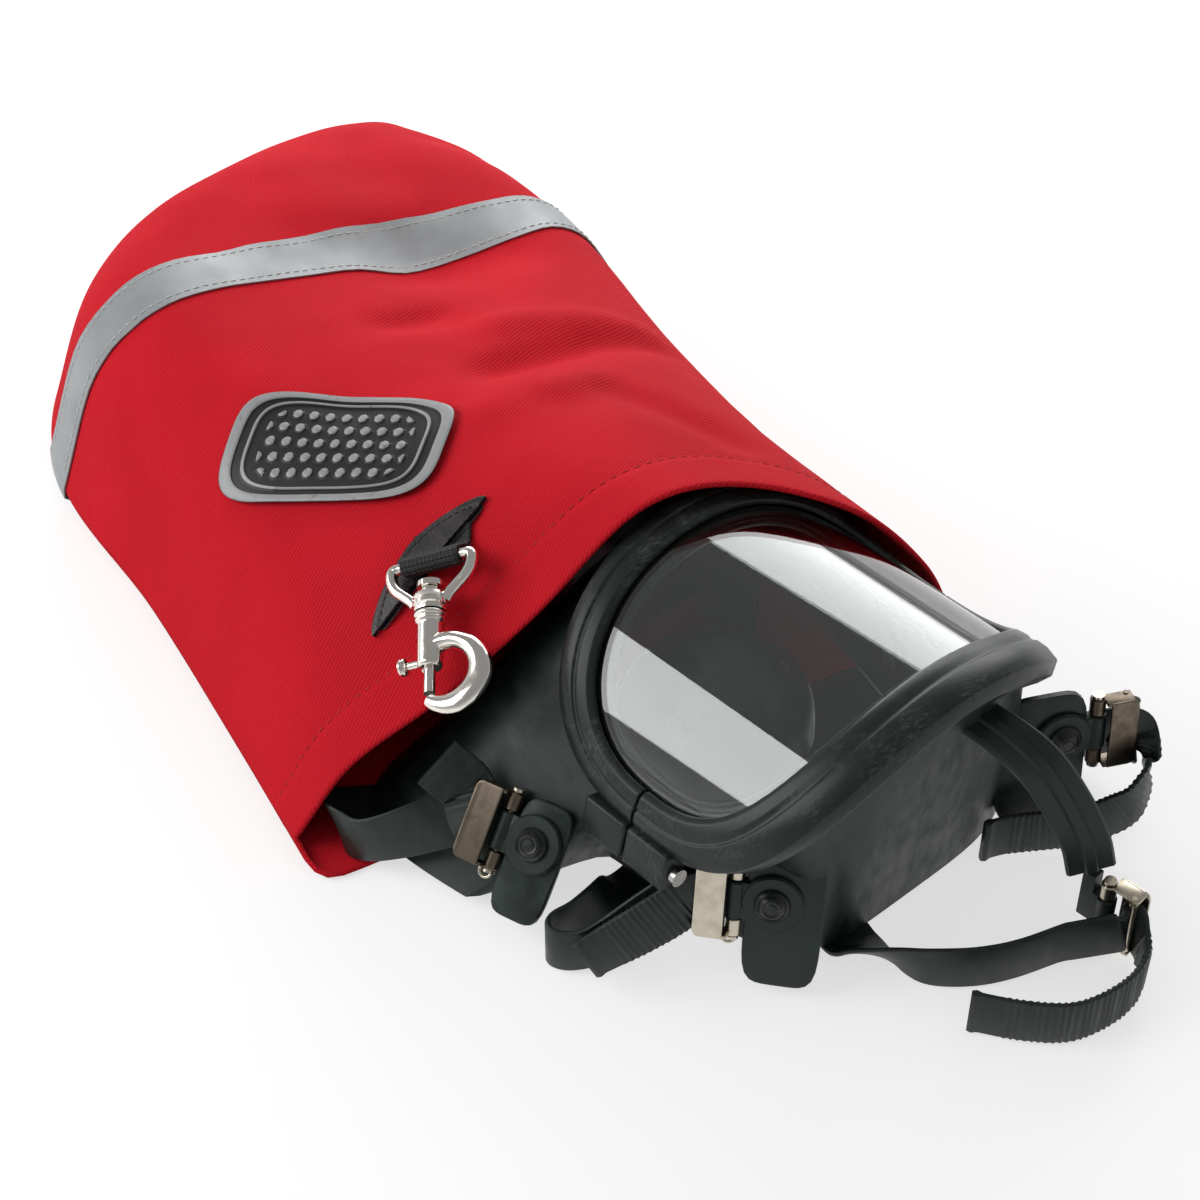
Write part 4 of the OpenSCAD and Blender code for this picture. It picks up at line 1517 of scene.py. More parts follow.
@dataclass
class SnapHook:
    """The swivel snap hook and the webbing that holds it. Its X runs along the hook, from the eye's bar."""

    place: tuple[float, float, float] = (-42.5, -58.4, 85.8)
    along: tuple[float, float, float] = (0.83, -0.44, -0.27)
    lean: tuple[float, float, float] = (0.08, -0.52, 0.85)
    bar: float = 2.0
    wire: float = 2.25
    web_width: float = 22.2
    web_thick: float = 1.4
    web_radius: float = 2.85
    web_rib: float = 1.6
    loop_at: tuple[float, float] = (45, 6)
    loop_inside: float = 8.7
    bore: float = 2.08
    knob_x: float = 39.5
    travel: float = 8
    bow: tuple[tuple[float, float], ...] = (
        (17, 5.7), (14.6, 7.2), (11.5, 10.4), (8.4, 13.6), (4.6, 15.4), (0.9, 15.2), (0, 12.5), (0, 6),
    )
    collar: tuple[tuple[float, float], ...] = (
        (3.58, 14), (5.2, 14), (6.1, 14.5), (6.35, 15.4), (5.7, 16.1), (5.7, 16.6), (6.5, 17.3), (6.5, 18.7),
        (5.6, 19.3), (5.6, 19.8), (6.1, 20.2), (5.9, 21), (3.58, 21), (3.58, 14),
    )
    shank: tuple[tuple[float, float], ...] = (
        (0, 11.3), (3.45, 11.3), (3.45, 21.35), (5.5, 21.35), (6, 21.9), (6, 22.7), (5.2, 23.3), (5.2, 23.7),
        (5.7, 24.1), (5.4, 24.8), (4.7, 25.6), (4.5, 41.2), (3.9, 42.2), (0, 42.2),
    )
    knob: tuple[tuple[float, float], ...] = (
        (0, 1.6), (1.4, 1.6), (1.4, 8.2), (2.4, 8.5), (3.1, 8.9), (3.3, 9.4), (2.9, 9.9), (3.3, 10.4),
        (3.1, 11.1), (2.2, 11.5), (0, 11.6),
    )
    spring_from: float = 26.6
    spring_to: float = 35.4
    spring_radius: float = 1.35
    spring_wire: float = 0.6
    spring_turns: int = 6

    def matrix(self) -> Matrix:
        """Gives the hook's place in the shared frame."""
        return axes_at(at(self.place), self.along, self.lean)

    @staticmethod
    def lengthwise() -> Matrix:
        """Turns a piece from the lathe's axis to the hook's."""
        return spun(90, "Y")

    def build_webbing(self) -> Piece:
        """Builds the webbing, which comes out of the leather tab and folds over the eye's bar.

        Returns:
            The webbing.
        """
        a = np.radians(np.linspace(130, -90, 10))
        r = self.web_radius
        fold = [(float(r * math.cos(t)), float(r * math.sin(t))) for t in a]
        over = [(-13, -8.2), (-9.5, -7.4), (-6.8, -5.2), (-4.6, -1.6)]
        under = [(-3, -4.2), (-6, -6.4), (-9, -7.5), (-13, -7.7), (-17, -7.8)]
        path = np.pad(curve(over + fold + under, 8), ((0, 0), (0, 1)))
        step = 0.3
        path = resampled(path, step)[:, :2]
        run = unit(np.gradient(path, axis=0))
        out = np.stack([-run[:, 1], run[:, 0]], axis=1)
        s = np.arange(len(path)) * step
        rib = self.web_thick / 2 + 0.16 * np.cos(s / self.web_rib * math.tau)
        ys = np.linspace(-1, 1, 41)
        edge = 1 - 0.5 * ease((np.abs(ys) - 0.94) / 0.06)
        rows = []
        for (x, z), (nx, nz), high in zip(path, out, rib):
            front = np.stack([x + nx * high * edge, ys * self.web_width / 2, z + nz * high * edge], axis=1)
            low = self.web_thick / 2 * edge
            back = np.stack([x - nx * low, ys * self.web_width / 2, z - nz * low], axis=1)[::-1]
            rows.append(np.concatenate([front, back]))
        return smooth(move(tube("webbing_fold", np.array(rows) * MM), self.matrix()), 60)

    def build_eye(self) -> Piece:
        """Builds the eye's bow with its swivel collar.

        Returns:
            The eye.
        """
        path = curve([*self.bow, *((x, -y) for x, y in reversed(self.bow))], 6)
        radius = self.bar + (self.wire - self.bar) * ease((np.abs(path[:, 1]) - 12.4) / 2)
        radius = np.where(path[:, 0] > 1, np.maximum(radius, self.wire), radius)
        bow = flat_tube("bow", path, radius, radius, 18)
        collar = move(turned("collar", self.collar, 48), self.lengthwise())
        return smooth(move(joined("eye_bow", [bow, collar]), self.matrix()), 40)

    def build_hook(self) -> Piece:
        """Builds the shank and the crescent as one casting, bored and slotted for the bolt.

        Returns:
            The hook.
        """
        shank = move(turned("shank", self.shank, 48), self.lengthwise())
        a = np.radians(np.linspace(206, -34, 60))
        share = np.linspace(0, 1, 60)
        wide = np.interp(share, (0, 0.25, 0.55, 0.78, 1), (3.0, 3.4, 4.6, 4.1, 2.4))
        thick = np.interp(share, (0, 0.3, 0.7, 1), (3.9, 3.4, 3.0, 2.2))
        radius = self.loop_inside + wide
        path = np.stack([radius * np.cos(a), radius * np.sin(a)], axis=1) + self.loop_at
        made = joined("hook_casting", [shank, flat_tube("crescent", path, wide, thick, 20)])
        refine(made, "REMESH", mode="VOXEL", voxel_size=0.24 * MM)
        refine(made, "SMOOTH", factor=0.5, iterations=8)
        bore(made, self.lengthwise(), self.bore, 26, 50, 40)
        low = (self.knob_x - self.travel - 2.2, -12, -1.7)
        cut(made, block("slot", low, (50.3, 0, 1.7), 0.3, 1))
        return smooth(move(made, self.matrix()), 50)

    def build_knob(self) -> Piece:
        """Builds the bolt's thumb knob.

        Returns:
            The knob.
        """
        place = self.matrix() @ shift(self.knob_x, 0, 0) @ spun(90, "X")
        return smooth(move(turned("thumb_knob", self.knob, 32), place), 40)

    def build(self) -> None:
        """Builds and dresses every piece of the hook."""
        dress(self.build_webbing(), WEBBING, Body.BAG, ["webbing_loop"])
        dress(self.build_eye(), NICKEL, Body.EYE, ["snap_eye"])
        dress(self.build_hook(), NICKEL, Body.HOOK, ["hook_body"])
        dress(self.build_knob(), NICKEL, Body.BOLT, ["bolt_knob"])
        matrix = self.matrix()
        wire = self.spring_radius, self.spring_wire, self.spring_turns
        spring = move(coil("bolt_coil", self.spring_from, self.spring_to, *wire), matrix)
        dress(smooth(spring), SPRING_STEEL, Body.HOOK, ["bolt_spring"])
        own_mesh(spring)
        for node in ("hook_bolt", "swivel_rivet"):
            dress_node(node, NICKEL)


# The mask


@dataclass(frozen=True)
class Seat:
    """Where a buckle is pinned, and the rubber tab that holds it.

    Its X runs from the pin to the roller, its Y out of the lever and its Z along the pin.
    """

    name: str
    pin: tuple[float, float, float]
    yaw: float
    lean: float
    side: int
    tab: tuple[float, float, float] | None = None
    root: tuple[float, float, float, float, float] | None = None

    def matrix(self) -> Matrix:
        """Gives the seat's place in the shared frame."""
        turn = spun(self.yaw, "Z") @ spun(self.lean, "X")
        return Matrix.Translation(at(self.pin)) @ turn @ Matrix.Diagonal((1, self.side, 1, 1))

    @property
    def lever(self) -> str:
        """The name of the body that the buckle turns with."""
        return f"{self.name}_lever"


SEATS = (
    Seat("forehead", (154, 94, 16.5), 17, 0, 1),
    Seat("near_temple", (101.4, -20.5, 35), -129, 20, 1, (26, -32, 22)),
    Seat("far_temple", (104, 123, 44), 75, -8, -1, (32, -36, 18)),
    Seat("near_jaw", (34.9, -72.1, 30), -150, 43, 1, (20, -27, 15), (-20, -6, 7, 13.5, 6)),
    Seat("far_jaw", (-4, 105.3, 20.8), 177, -6, -1, (26, -15, 14), (-28, -19, -10, 10, 7)),
)


def ribbon(rows: np.ndarray, section: np.ndarray) -> np.ndarray:
    """Sweeps a section along a path.

    Args:
        rows: A place and the direction of the width in each row, in millimetres.
        section: For each row, or for all, points across and off the ribbon, in millimetres.

    Returns:
        The rings of the ribbon, in millimetres.
    """
    run = unit(np.gradient(rows[:, :3], axis=0))
    wide = unit(rows[:, 3:6] - run * np.sum(rows[:, 3:6] * run, axis=1, keepdims=True))
    thick = np.cross(run, wide)
    shape = np.broadcast_to(section, (len(rows), *section.shape[-2:]))
    return rows[:, None, :3] + wide[:, None] * shape[..., :1] + thick[:, None] * shape[..., 1:]


def rolled(route: Sequence[Sequence[float]], per: int = 8) -> np.ndarray:
    """Eases a route and gives its width directions.

    Args:
        route: A place and a roll in each row; a roll of 0 stands the strap on its edge, and 90 lays it flat.
        per: The steps between two rows.

    Returns:
        A place and the direction of the width in each row.
    """
    path = curve(route, per)
    run = unit(np.gradient(path[:, :3], axis=0))
    level = unit(np.cross((0.0, 0.0, 1.0), run))
    up = np.cross(run, level)
    roll = np.radians(path[:, 3:4])
    return np.concatenate([path[:, :3], up * np.cos(roll) + level * np.sin(roll)], axis=1)


def rounded_section(width: float, thick: float, sides: int = 3) -> np.ndarray:
    """Gives the section of a flat strap with rounded edges.

    Args:
        width: The strap's width, in millimetres.
        thick: Its thickness.
        sides: The steps of each edge's quarter round.

    Returns:
        The points across and off the strap.
    """
    a = np.radians(np.linspace(-90, 90, 2 * sides - 1))
    edge = thick / 2
    far = np.stack([width / 2 - edge + edge * np.cos(a), edge * np.sin(a)], axis=1)
    return np.concatenate([far, -far])


@dataclass
class Facepiece:
    """The lens, its bezel and the moulded rubber of the mask.

    Its X runs to the forehead and its Z out of the lens.
    """

    PANE: ClassVar[str] = "lens_pane"
    place: tuple[float, float, float] = (59.5, 32, 31.5)
    yaw: float = 12
    pitch: float = 4
    lens_radius: float = 76
    lens_arc: float = 67
    lens_half: float = 56
    lens_round: float = 2.5
    lens_thick: float = 3
    wall: float = 3
    split: float = 92
    split_gap: float = 0.5
    ear_at: tuple[float, float, float] = (-2.4, 75.5, 15)
    ear_length: float = 20
    ear_bore: float = 2.1
    bezel: tuple[tuple[float, float], ...] = (
        (-4, 0.4), (-4, 2.4), (-2.2, 3.8), (1.6, 4.2), (2.2, 3.7), (3.0, 3.7), (3.6, 4.4), (6.5, 4.2),
        (10, 2.5), (11, -3), (9, -8), (1.2, -8), (1.2, 0.4),
    )
    gasket: tuple[tuple[float, float], ...] = (
        (-8.6, -5.6), (-8.2, -4.3), (-7.4, -4.3), (-6.9, -5.2), (-5.6, -5.2), (-5.1, -3.6), (-4.3, -3.4),
        (0.7, -3.4), (0.7, -7.6), (-8, -7.6),
    )
    tongue: tuple[tuple[float, ...], ...] = (
        (104, 61, 86, -0.3, 0.95, 0), (109, 63.5, 86, -0.3, 0.95, 0), (120, 69.5, 82.5, -0.2, 0.98, 0.05),
        (130, 77.5, 73, 0.05, 0.99, 0.05), (138, 84.5, 58, 0.25, 0.96, 0), (143.5, 89.3, 44, 0.36, 0.92, 0),
        (146.3, 91.6, 31.6, 0.4, 0.9, 0),
    )
    tongue_section: tuple[tuple[float, float], ...] = (
        (-8.5, -0.6), (-7.6, -1.5), (7.6, -1.5), (8.5, -0.6), (8.5, 0.6), (7.6, 1.5), (2.6, 1.5),
        (1.7, 2.7), (-1.7, 2.7), (-2.6, 1.5), (-7.6, 1.5), (-8.5, 0.6),
    )
    seal: tuple[tuple[float, float], ...] = ((1.2, -0.5), (4, -0.2), (8, 0.3), (12.5, 0.8))
    cup_at: tuple[float, float, float] = (-44, 0, -14)
    cup_wall: float = 2.2
    cup_hole: float = 7.1
    cup: tuple[tuple[float, float], ...] = (
        (36, 0), (36, 10), (34.6, 15.5), (31, 21), (26, 26.5), (19, 33), (12, 39.5), (6, 42.6), (0, 44),
    )
    port_at: tuple[float, float, float] = (-95.6, 0, 28.7)
    port_tilt: float = -60
    port_holes: tuple[tuple[float, float, float], ...] = ((17.2, -14, 6), (22.6, 0.2, 24))
    exhale_at: tuple[float, float, float] = (34, 0, -1.6)
    exhale_holes: tuple[tuple[float, float, float], ...] = ((6.6, -12, 6), (12.2, -0.2, 24))
    stud: tuple[tuple[float, float], ...] = (
        (0, -4.2), (4.6, -4.2), (5, -3.8), (5, -2.9), (4.6, -2.6), (3, -2.6), (3, 2.9), (5.7, 2.9), (6, 3.3),
        (5.7, 4.0), (5.0, 4.5), (4.7, 4.4), (4.4, 4.7), (4.0, 5.5), (3.1, 6.0), (2.6, 5.7), (2.2, 5.7),
        (1.7, 6.1), (0, 6.2),
    )
    cup_flap: tuple[tuple[float, float], ...] = (
        (0, 0.4), (6.4, 0.5), (7, 1.0), (6.6, 1.5), (2.2, 1.7), (1.6, 2.6), (0, 2.9),
    )
    inlet_flap: tuple[tuple[float, float], ...] = (
        (0, 2.5), (16, 2.5), (16.6, 2.7), (16.4, 3.1), (3, 3.3), (2.2, 4.6), (0, 4.9),
    )
    exhale_flap: tuple[tuple[float, float], ...] = (
        (0, 4.1), (7.6, 4.1), (8, 4.4), (7.7, 4.9), (2, 5), (0, 5),
    )

    def matrix(self) -> Matrix:
        """Gives the mask's place in the shared frame."""
        return Matrix.Translation(at(self.place)) @ spun(self.yaw, "Z") @ spun(-self.pitch, "Y")

    def port(self) -> Matrix:
        """Gives the place of the inlet port, whose Z runs out of the chin."""
        return self.matrix() @ shift(*self.port_at) @ spun(self.port_tilt, "Y")

    def exhale(self) -> Matrix:
        """Gives the place of the exhale valve."""
        return self.port() @ shift(*self.exhale_at)

    def rim(
        self, t: np.ndarray, grow: np.ndarray | float, rise: np.ndarray | float,
        share: np.ndarray | float = 1.0,
    ) -> np.ndarray:
        """Gives places on the lens's curve.

        Args:
            t: Directions round the outline from the forehead, in radians.
            grow: How far outside the outline.
            rise: How far off the lens.
            share: The share of the way from the middle.

        Returns:
            The places, in millimetres on the mask.
        """
        d = round_dir(t, self.lens_round)
        a = share * np.radians(self.lens_arc + np.degrees(grow / self.lens_radius)) * d[..., 1]
        r = self.lens_radius + rise
        return np.stack([share * (self.lens_half + grow) * d[..., 0], r * np.sin(a), r * np.cos(a)], axis=-1)

    def band(self, name: str, profile: Sequence[tuple[float, float]], t: np.ndarray, whole: bool) -> Piece:
        """Sweeps a profile round the lens.

        Args:
            name: The piece's name.
            profile: Pairs of how far outside the outline and how far off the lens.
            t: The directions of its rings, in radians.
            whole: Whether it runs all the way round.

        Returns:
            The band, on the mask.
        """
        rows = []
        for angle in t:
            grow = np.array([g * (1 + 0.5 * max(math.cos(angle), 0)) if g > 2 else g for g, _ in profile])
            rows.append(self.rim(np.full(len(profile), angle), grow, np.array([r for _, r in profile])))
        made = lofted(name, np.array(rows) * MM, around=True, along=whole)
        return close_up(made, ends=not whole)

    def build_lens(self) -> Piece:
        """Builds the curved lens.

        Returns:
            The lens.
        """
        turn, share = disc_grid(101)
        made = lofted(self.PANE, self.rim(turn, 0.0, 0.0, share) * MM)
        refine(made, "SOLIDIFY", thickness=self.lens_thick * MM, offset=-1.0)
        return smooth(move(round_edges(made, 0.4, 2, 50), self.matrix()), 40)

    def build_gasket(self) -> Piece:
        """Builds the gasket under the lens, with two thin beads.

        Returns:
            The gasket.
        """
        made = self.band("lens_seal", self.gasket, np.arange(160) * math.tau / 160, True)
        return smooth(move(round_edges(made, 0.25, 2, 25), self.matrix()), 40)

    def build_ear(self, side: int, ahead: int) -> Piece:
        """Builds one ear of the bezel's split.

        Args:
            side: 1 on the far side and -1 on the near one.
            ahead: 1 on the forehead's half and -1 on the chin's.

        Returns:
            The ear.
        """
        half = self.ear_length / 2
        made = block("ear", (-half, -5, -7), (half, 4, 7), 1.4, 3)
        sharp = block("chamfer", (-20, -10, -30), (20, 10, -10), 0.01, 1)
        lean = spun(-35 * ahead, "Y") @ shift(ahead * self.ear_length * 0.75, 0, 0)
        cut(made, move(sharp, shift(-ahead * half, 0, -9) @ lean))
        bore(made, shift(0, 0, -1) @ spun(90, "Y"), self.ear_bore, -30, 30, 24)
        x, y, z = self.ear_at
        return move(made, shift(x + ahead * (0.35 + half), side * y, z) @ spun(15 * side, "X"))

    def build_bezel(self, name: str, low: float, high: float, ahead: int) -> Piece:
        """Builds one half of the bezel with its two ears.

        Args:
            name: The half's name.
            low: The direction where it starts, in degrees.
            high: The direction where it ends.
            ahead: 1 for the forehead's half and -1 for the chin's.

        Returns:
            The half.
        """
        made = self.band("band", self.bezel, np.radians(np.linspace(low, high, 121)), False)
        round_edges(made, 0.5, 2, 24)
        made = joined(name, [made, *(self.build_ear(side, ahead) for side in (-1, 1))])
        return smooth(move(made, self.matrix()), 35)

    def foot(self, t: np.ndarray, draw: float) -> np.ndarray:
        """Gives places along the face seal.

        Args:
            t: Directions round the mask from the forehead, in radians.
            draw: How far they are drawn in.

        Returns:
            The places, in millimetres on the mask.
        """
        d = round_dir(t, 4.5)
        x = -36 + (85 - draw) * d[:, 0]
        near = (64 - 0.12 * (x + 36)) * (1 + 0.72 * ease((-x - 30) / 20))
        far = (80 - 0.25 * (x + 36)) * (1 + 0.2 * ease(x / 40))
        wide = np.where(d[:, 1] < 0, near, far) - draw
        slope = math.radians(self.pitch)
        low = (5.5 - self.place[2] - x * math.sin(slope)) / math.cos(slope)
        return np.stack([x, wide * d[:, 1], low], axis=1)

    def cheek(self, t: np.ndarray, k: float) -> np.ndarray:
        """Gives places on the face blank.

        Args:
            t: Directions round the mask from the forehead, in radians.
            k: The share of the way from the bezel to the seal.

        Returns:
            The places, in millimetres on the mask.
        """
        top = self.rim(t, 8.0, -8.6)
        belly = 10 * math.sin(math.pi * k) * (1 - k)
        hollow = 12 * math.sin(math.pi * k) * np.maximum(np.cos(t + math.radians(68)), 0) ** 6
        c, s = np.cos(t), np.sin(t)
        along, across = belly * c * np.where(c < 0, 1.4, 0.2), belly * s * 0.2 + hollow
        lift = np.stack([along, across, np.full_like(t, belly * 0.6)], axis=1)
        return top + (self.foot(t, 0.0) - top) * k + lift

    def build_blank(self) -> Piece:
        """Builds the wall of the face blank down to its turned-in seal, with openings for the two ports.

        Returns:
            The wall, on the mask.
        """
        t = -np.arange(200) * math.tau / 200
        lift = np.array((0.0, 0.0, 1.0))
        rings = [self.cheek(t, k) for k in np.linspace(0, 1, 29)]
        rings += [self.foot(t, d) + lift * r for d, r in self.seal]
        made = merge_points(lofted("wall", np.array(rings) * MM, around=True))
        even = {"use_even_offset": True, "thickness_clamp": 2.0}
        refine(made, "SOLIDIFY", thickness=self.wall * MM, offset=-1.0, **even)
        for place, holes in ((self.port(), self.port_holes), (self.exhale(), self.exhale_holes)):
            for radius, low, high in holes:
                bore(made, self.matrix().inverted() @ place, radius, low, high, 48)
        return made

    def build_tongue(self) -> Piece:
        """Builds the forehead tongue with the rib along its middle.

        Returns:
            The tongue, in the shared frame.
        """
        return tube("tongue", at(ribbon(curve(self.tongue, 8), np.array(self.tongue_section))))

    @staticmethod
    def build_tab(seat: Seat) -> list[Piece]:
        """Builds the rubber tab behind a buckle.

        Args:
            seat: The buckle's seat, with a tab.

        Returns:
            The tab's pieces, in the shared frame.
        """
        width, low, high = seat.tab
        middle = shift(-3.5 - width / 2, 0, (low + high) / 2)
        turn = np.linspace(0, math.tau, 49)[:-1]
        d = round_dir(turn, 5.0)
        outline = np.stack([d[:, 0] * width / 2, np.zeros(48), d[:, 1] * (high - low) / 2], axis=1)
        levels = ((0.97, 0.5), (1, 0.1), (1, -2.1), (0.97, -2.5))
        rows = [outline * size + (0, level, 0) for size, level in levels]
        plate = move(tube("plate", np.array(rows) * MM), middle)
        boss = turned("boss", [(0, -2.4), (10.5, -2.4), (10.5, 2.0), (9.8, 2.8), (0, 2.8)], 40)
        made = [plate, move(boss, shift(STUD_X, 0, 0) @ spun(-90, "X"))]
        if seat.root:
            x0, x1, z0, z1, depth = seat.root
            made.append(block("root", (x0, -depth, z0), (x1, -2, z1), 0.8, 2))
        return [move(piece, seat.matrix()) for piece in made]

    @staticmethod
    def build_knuckle(seat: Seat) -> Piece:
        """Builds the knuckle round a buckle's pin.

        Args:
            seat: The buckle's seat.

        Returns:
            The knuckle, in the shared frame.
        """
        profile = [(1.25, -6.9), (2.9, -6.9), (3.4, -6.4), (3.4, 6.4), (2.9, 6.9), (1.25, 6.9), (1.25, -6.9)]
        back, top = (-7, 6.9) if seat.tab else (-9.5, 15)
        root = block("knuckle_root", (back, -2.4, -6.9), (-1.6, 2.4, top), 0.5, 2)
        if not seat.tab:
            cut(root, block("knuckle_gap", (-4.4, -5, 7), (5, 5, 20), 0.01, 1))
        return move(joined("knuckle", [turned("eye", profile, 32), root]), seat.matrix())

    def build_skin(self) -> Piece:
        """Builds the moulded rubber of the mask: the face blank with its tabs and its tongue.

        Returns:
            The rubber.
        """
        parts = [move(self.build_blank(), self.matrix()), self.build_tongue()]
        for seat in SEATS:
            parts.append(self.build_knuckle(seat))
            if seat.tab:
                parts += self.build_tab(seat)
        return smooth(joined("mask_rubber", parts), 40)

    def build_studs(self) -> Piece:
        """Builds the rubber studs of the four tabs, each a low dome with rings.

        Returns:
            The studs.
        """
        one = move(turned("stud", self.stud, 40), shift(STUD_X, 0, 0) @ spun(-90, "X"))
        made = [copy_of(one, f"stud_{seat.name}", seat.matrix()) for seat in SEATS if seat.tab]
        bpy.data.objects.remove(one)
        return smooth(joined("tab_studs", made), 35)

    def build_cup(self) -> Piece:
        """Builds the nose cup with its two valve holes.

        Returns:
            The cup.
        """
        outside = curve(self.cup, 3)
        inside = outside * (1 - self.cup_wall / np.array(self.cup).max(axis=0))
        profile = np.concatenate([outside, inside[::-1]])
        made = turned("breath_cup", [(float(max(r, 0)), float(z)) for r, z in profile], 56)
        for side in (-1, 1):
            bore(made, self.cup_side(side), self.cup_hole, -12, 12, 32)
        return smooth(move(made, self.matrix() @ shift(*self.cup_at)), 40)

    @staticmethod
    def cup_side(side: int) -> Matrix:
        """Gives the place of a valve on the nose cup."""
        return spun(62 * side, "Z") @ shift(25, 0, 24) @ spun(50, "Y")

    def build_valves(self) -> None:
        """Builds the thin rubber flaps of the nose cup, the inlet and the exhale valve."""
        cup = self.matrix() @ shift(*self.cup_at)
        flaps = [
            move(turned(f"flap_{side}", self.cup_flap, 36), cup @ self.cup_side(side)) for side in (-1, 1)
        ]
        both = smooth(joined("cup_flaps", flaps))
        inlet = smooth(move(turned("inlet_flap", self.inlet_flap, 48), self.port()))
        outlet = smooth(move(turned("exhale_flap", self.exhale_flap, 40), self.exhale()))
        for piece, node in ((both, "nose_cup_valves"), (inlet, "inlet_valve"), (outlet, "exhale_disc")):
            dress(piece, VALVE_RUBBER, Body.MASK, [node])

    def build(self) -> None:
        """Builds and dresses every piece of the mask."""
        dress(self.build_lens(), LENS, Body.MASK, ["lens"])
        dress(self.build_gasket(), GASKET_RUBBER, Body.MASK, ["lens_gasket"])
        upper, lower = self.split - self.split_gap, self.split + self.split_gap
        for name, low, high, ahead, node in (
            ("bezel_top", -upper, upper, 1, "bezel_upper"),
            ("bezel_chin", lower, 360 - lower, -1, "bezel_lower"),
        ):
            dress(self.build_bezel(name, low, high, ahead), BEZEL, Body.MASK, [node])
        moulded = ["face_blank", "forehead_tongue", *(f"{s.name}_lug" for s in SEATS if s.tab)]
        dress(self.build_skin(), RUBBER, Body.MASK, moulded)
        dress(self.build_studs(), STUD_RUBBER, Body.MASK, ["lug_studs"])
        dress(self.build_cup(), RUBBER, Body.MASK, ["nose_cup"])
        self.build_valves()
        for node, finish in (
            ("bezel_screws", SPRING_STEEL), ("buckle_pins", AGED_NICKEL), ("inlet_port", PORT_PLASTIC),
            ("port_ring", RING_METAL), ("speech_diaphragm", RING_METAL), ("exhale_seat", PORT_PLASTIC),
            ("exhale_spring", SPRING_STEEL), ("exhale_cover", PORT_PLASTIC),
        ):
            dress_node(node, finish)


# The head harness


